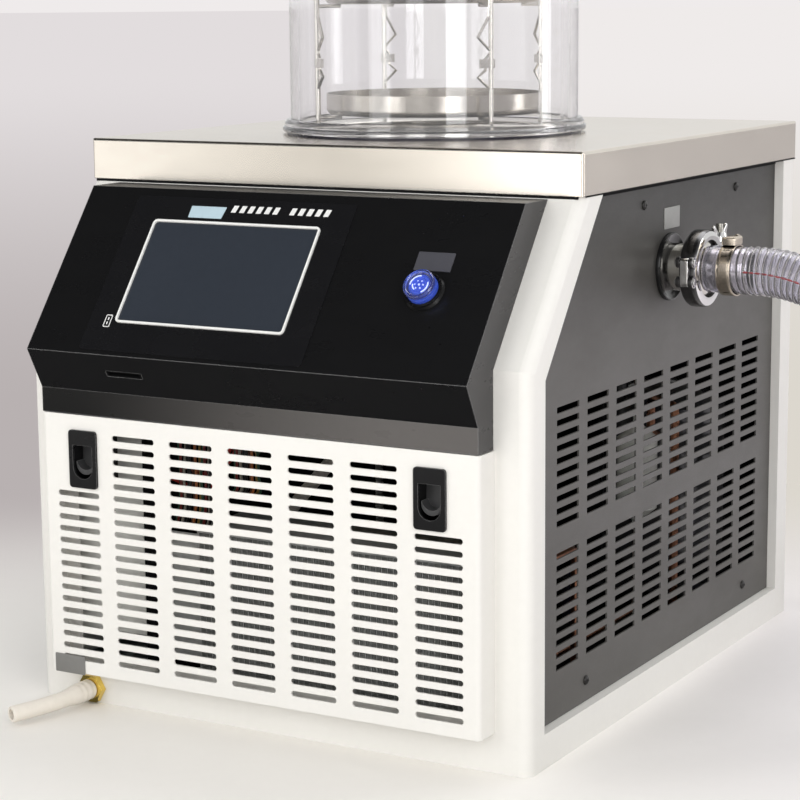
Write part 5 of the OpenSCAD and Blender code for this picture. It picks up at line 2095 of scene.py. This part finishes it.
@dataclass
class LidShadowStrips:
    """Dark strips of painted shadow in the joint between the steel top and the painted frame.

    Args:
        climb: rise of the console's slope in millimetres.
        run: depth of the same slope.
    """

    climb: float = 126.0
    run: float = 96.2

    def build(self) -> None:
        """Makes the strips along both sides and across the front."""
        low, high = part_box("steel_top")
        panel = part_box("right_side_panel")
        rear = panel[1].y
        strips = []
        for way in (-1, 1):
            x = way * (panel[1].x + 0.7 * MM)
            strips.append(
                self.strip(
                    Vector((x, (low.y + rear) / 2 + 16 * MM, low.z - 1.5 * MM)), millimetres(1.6, 0, 4.2),
                    rear - low.y - 36 * MM
                )
            )
            strips.append(
                self.strip(
                    Vector((way * (high.x + 0.5 * MM), (low.y + high.y) / 2, low.z - 0.3 * MM)),
                    millimetres(1.2, 0, 0.9), high.y - low.y - 8 * MM
                )
            )
        lean = math.radians(90) - math.atan2(self.climb, self.run)
        slope = axes(*leaning(lean), Vector((0, low.y + 0.2 * MM, low.z - 1.3 * MM)))
        front = settle(
            block("strip", Vector((high.x - low.x - 8 * MM, 2.4 * MM, 0.7 * MM)), 0.3 * MM), slope
        )
        # The black foam finish makes the strips read as the shadow in the joint: painted shadow.
        present(soften(joined("lid_shadow_strips", [*strips, front])), "dark_rubber", LINING_AND_SHADE)

    @staticmethod
    def strip(centre: Vector, size: Vector, long: float) -> Piece:
        """One strip along the cabinet's depth.

        Args:
            centre: middle of the strip.
            size: its width and height, as X and Z.
            long: its length.

        Returns:
            The strip.
        """
        return settle(
            block("strip", Vector((size.x, long, size.z)), 0.3 * MM),
            Matrix.Translation(centre - Vector((0, 0, size.z / 2)))
        )


@dataclass
class Lining:
    """Black sound lining on the inner walls and on the floor of the cabinet, and a black sheet of painted
    shade on the right side of the electrical box.
    """

    def build(self) -> None:
        """Makes the sheets on the left wall, the rear wall and the floor, and the sheet of painted shade
        on the electrical box.
        """
        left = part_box("left_side_panel")[1].x
        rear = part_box("rear_panel")[0].y
        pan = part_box("base_pan")[0].z + 3 * MM
        sheets = [
            self.sheet((346, 236), Facing.RIGHT.at(left + 0.2 * MM, 0.097, 0.128)),
            self.sheet((430, 262), Facing.FRONT.at(0, rear - 0.2 * MM, 0.142)),
            self.sheet((400, 440), Facing.UP.at(0, 0.045, pan)),
            # Painted shade: a black sheet on the electrical box's right face.
            self.shade_sheet_on_box(),
        ]
        present(soften(joined("sound_lining_and_shade_sheet", sheets)), "foam", LINING_AND_SHADE)

    def shade_sheet_on_box(self) -> Piece:
        """Black sheet on the right side of the electrical box, as painted shade on that face."""
        low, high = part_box("electrical_box")
        size = ((high.y - low.y) / MM - 1, (high.z - low.z) / MM - 1)
        place = Facing.RIGHT.at(high.x + 0.2 * MM, (low.y + high.y) / 2, (low.z + high.z) / 2)
        return self.sheet(size, place)

    @staticmethod
    def sheet(size: tuple[float, float], place: Matrix) -> Piece:
        """One sheet, 2.4 mm thick with a softened rim."""
        return settle(block("sheet", millimetres(*size, 2.4), 3 * MM, 0.8 * MM), place)


@dataclass
class WireBundle:
    """Coloured wires that rise from the electrical box behind the vent cover.

    Args:
        groups: for each group its left end, its number of wires and its lowest height.
        pitch: spacing of the wires.
    """

    groups: tuple[tuple[float, int, float], ...] = ((-106.0, 15, 172.0), (-50.0, 9, 204.0))
    pitch: float = 3.0

    def build(self) -> None:
        """Makes every wire and joins them."""
        wires = []
        for start, count, low in self.groups:
            for k in range(count):
                x = start + self.pitch * k
                sway = 1.1 * math.sin(2.1 * k + start)
                depth = -252 + 1.3 * math.cos(3.7 * k)
                points = [
                    (-131, -214 + 0.8 * k, low - 26), (-118, -222 + 0.7 * k, low - 24),
                    (x - 8, depth + 6, low - 16)
                ]
                points += [
                    (x, depth, low + 4), (x + sway, depth, low + 28), (x - sway, depth + 1, 226),
                    (x + 0.4 * k, depth + 2, 250), (x, depth + 3, 272)
                ]
                route = Route([millimetres(*p) for p in points], 4 * MM)
                wire = tube("wire", route, (lambda along, turn: 1.15 * MM,), 7)
                dress(wire, WIRE_COLOURS[(k * 5 + int(low)) % len(WIRE_COLOURS)])
                wires.append(wire)
        present(joined("control_wires", wires), "wire_insulation")


@dataclass
class FinPack:
    """Thin fins between the thicker ones of the condenser.

    Args:
        pitch: spacing of the thicker fins, in millimetres.
        thick: their thickness.
        span: where the fins start and end from left to right.
        depth: place of their middle from front to back.
    """

    pitch: float = 5.3
    thick: float = 1.0
    span: tuple[float, float] = (-80.0, 180.0)
    depth: float = -244.8

    def build(self) -> None:
        """Makes one fin and copies it two to a gap."""
        low_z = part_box("condenser_coil")[0].z + 32 * MM
        high_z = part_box("fan_shroud")[1].z - 4 * MM
        model = block("fin", Vector((0.4 * MM, 35 * MM, high_z - low_z)))
        fins = []
        x, end = self.span
        while x < end:
            for k in (1, 2):
                across = x + self.thick + k * (self.pitch - self.thick) / 3
                spot = Vector((across * MM, self.depth * MM, low_z))
                fins.append(copied(model, Matrix.Translation(spot)))
            x += self.pitch
        bpy.data.objects.remove(model)
        present(joined("condenser_fin_pack", fins), "aluminium_fins", MILL_FINS)
        self.baffle()

    def baffle(self) -> None:
        """Plate that closes the gap between the electrical box and the condenser to the air."""
        plate = block("condenser_baffle", millimetres(48, 1.2, 112), 1.5 * MM)
        settle(plate, Matrix.Translation(millimetres(-106, -247, 38)))
        present(plate, "aluminium_fins", MILL_FINS)


# ---------------------------------------------------------------- run


def main(frame: dict) -> None:
    """Builds the dryer's visual model, class by class."""
    Studio().build()
    VacuumHose().build()
    DrainTube().build()
    Construction(frame).build()
    face = ConsoleFace()
    PilotLamp(face).build()
    ScreenBezel(face).build()
    ConsoleMarks(face).build()
    PanelScrews().build()
    LabelPlates().build()
    SwingClamp().build()
    PortFittings().build()
    DrumFoot().build()
    LidShadowStrips().build()
    Lining().build()
    WireBundle().build()
    FinPack().build()


if __name__ == "__main__":
    logging.basicConfig(level=logging.INFO, format="%(name)s %(message)s")
    for start_object in list(bpy.data.objects):
        bpy.data.objects.remove(start_object)
    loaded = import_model()
    main(loaded)
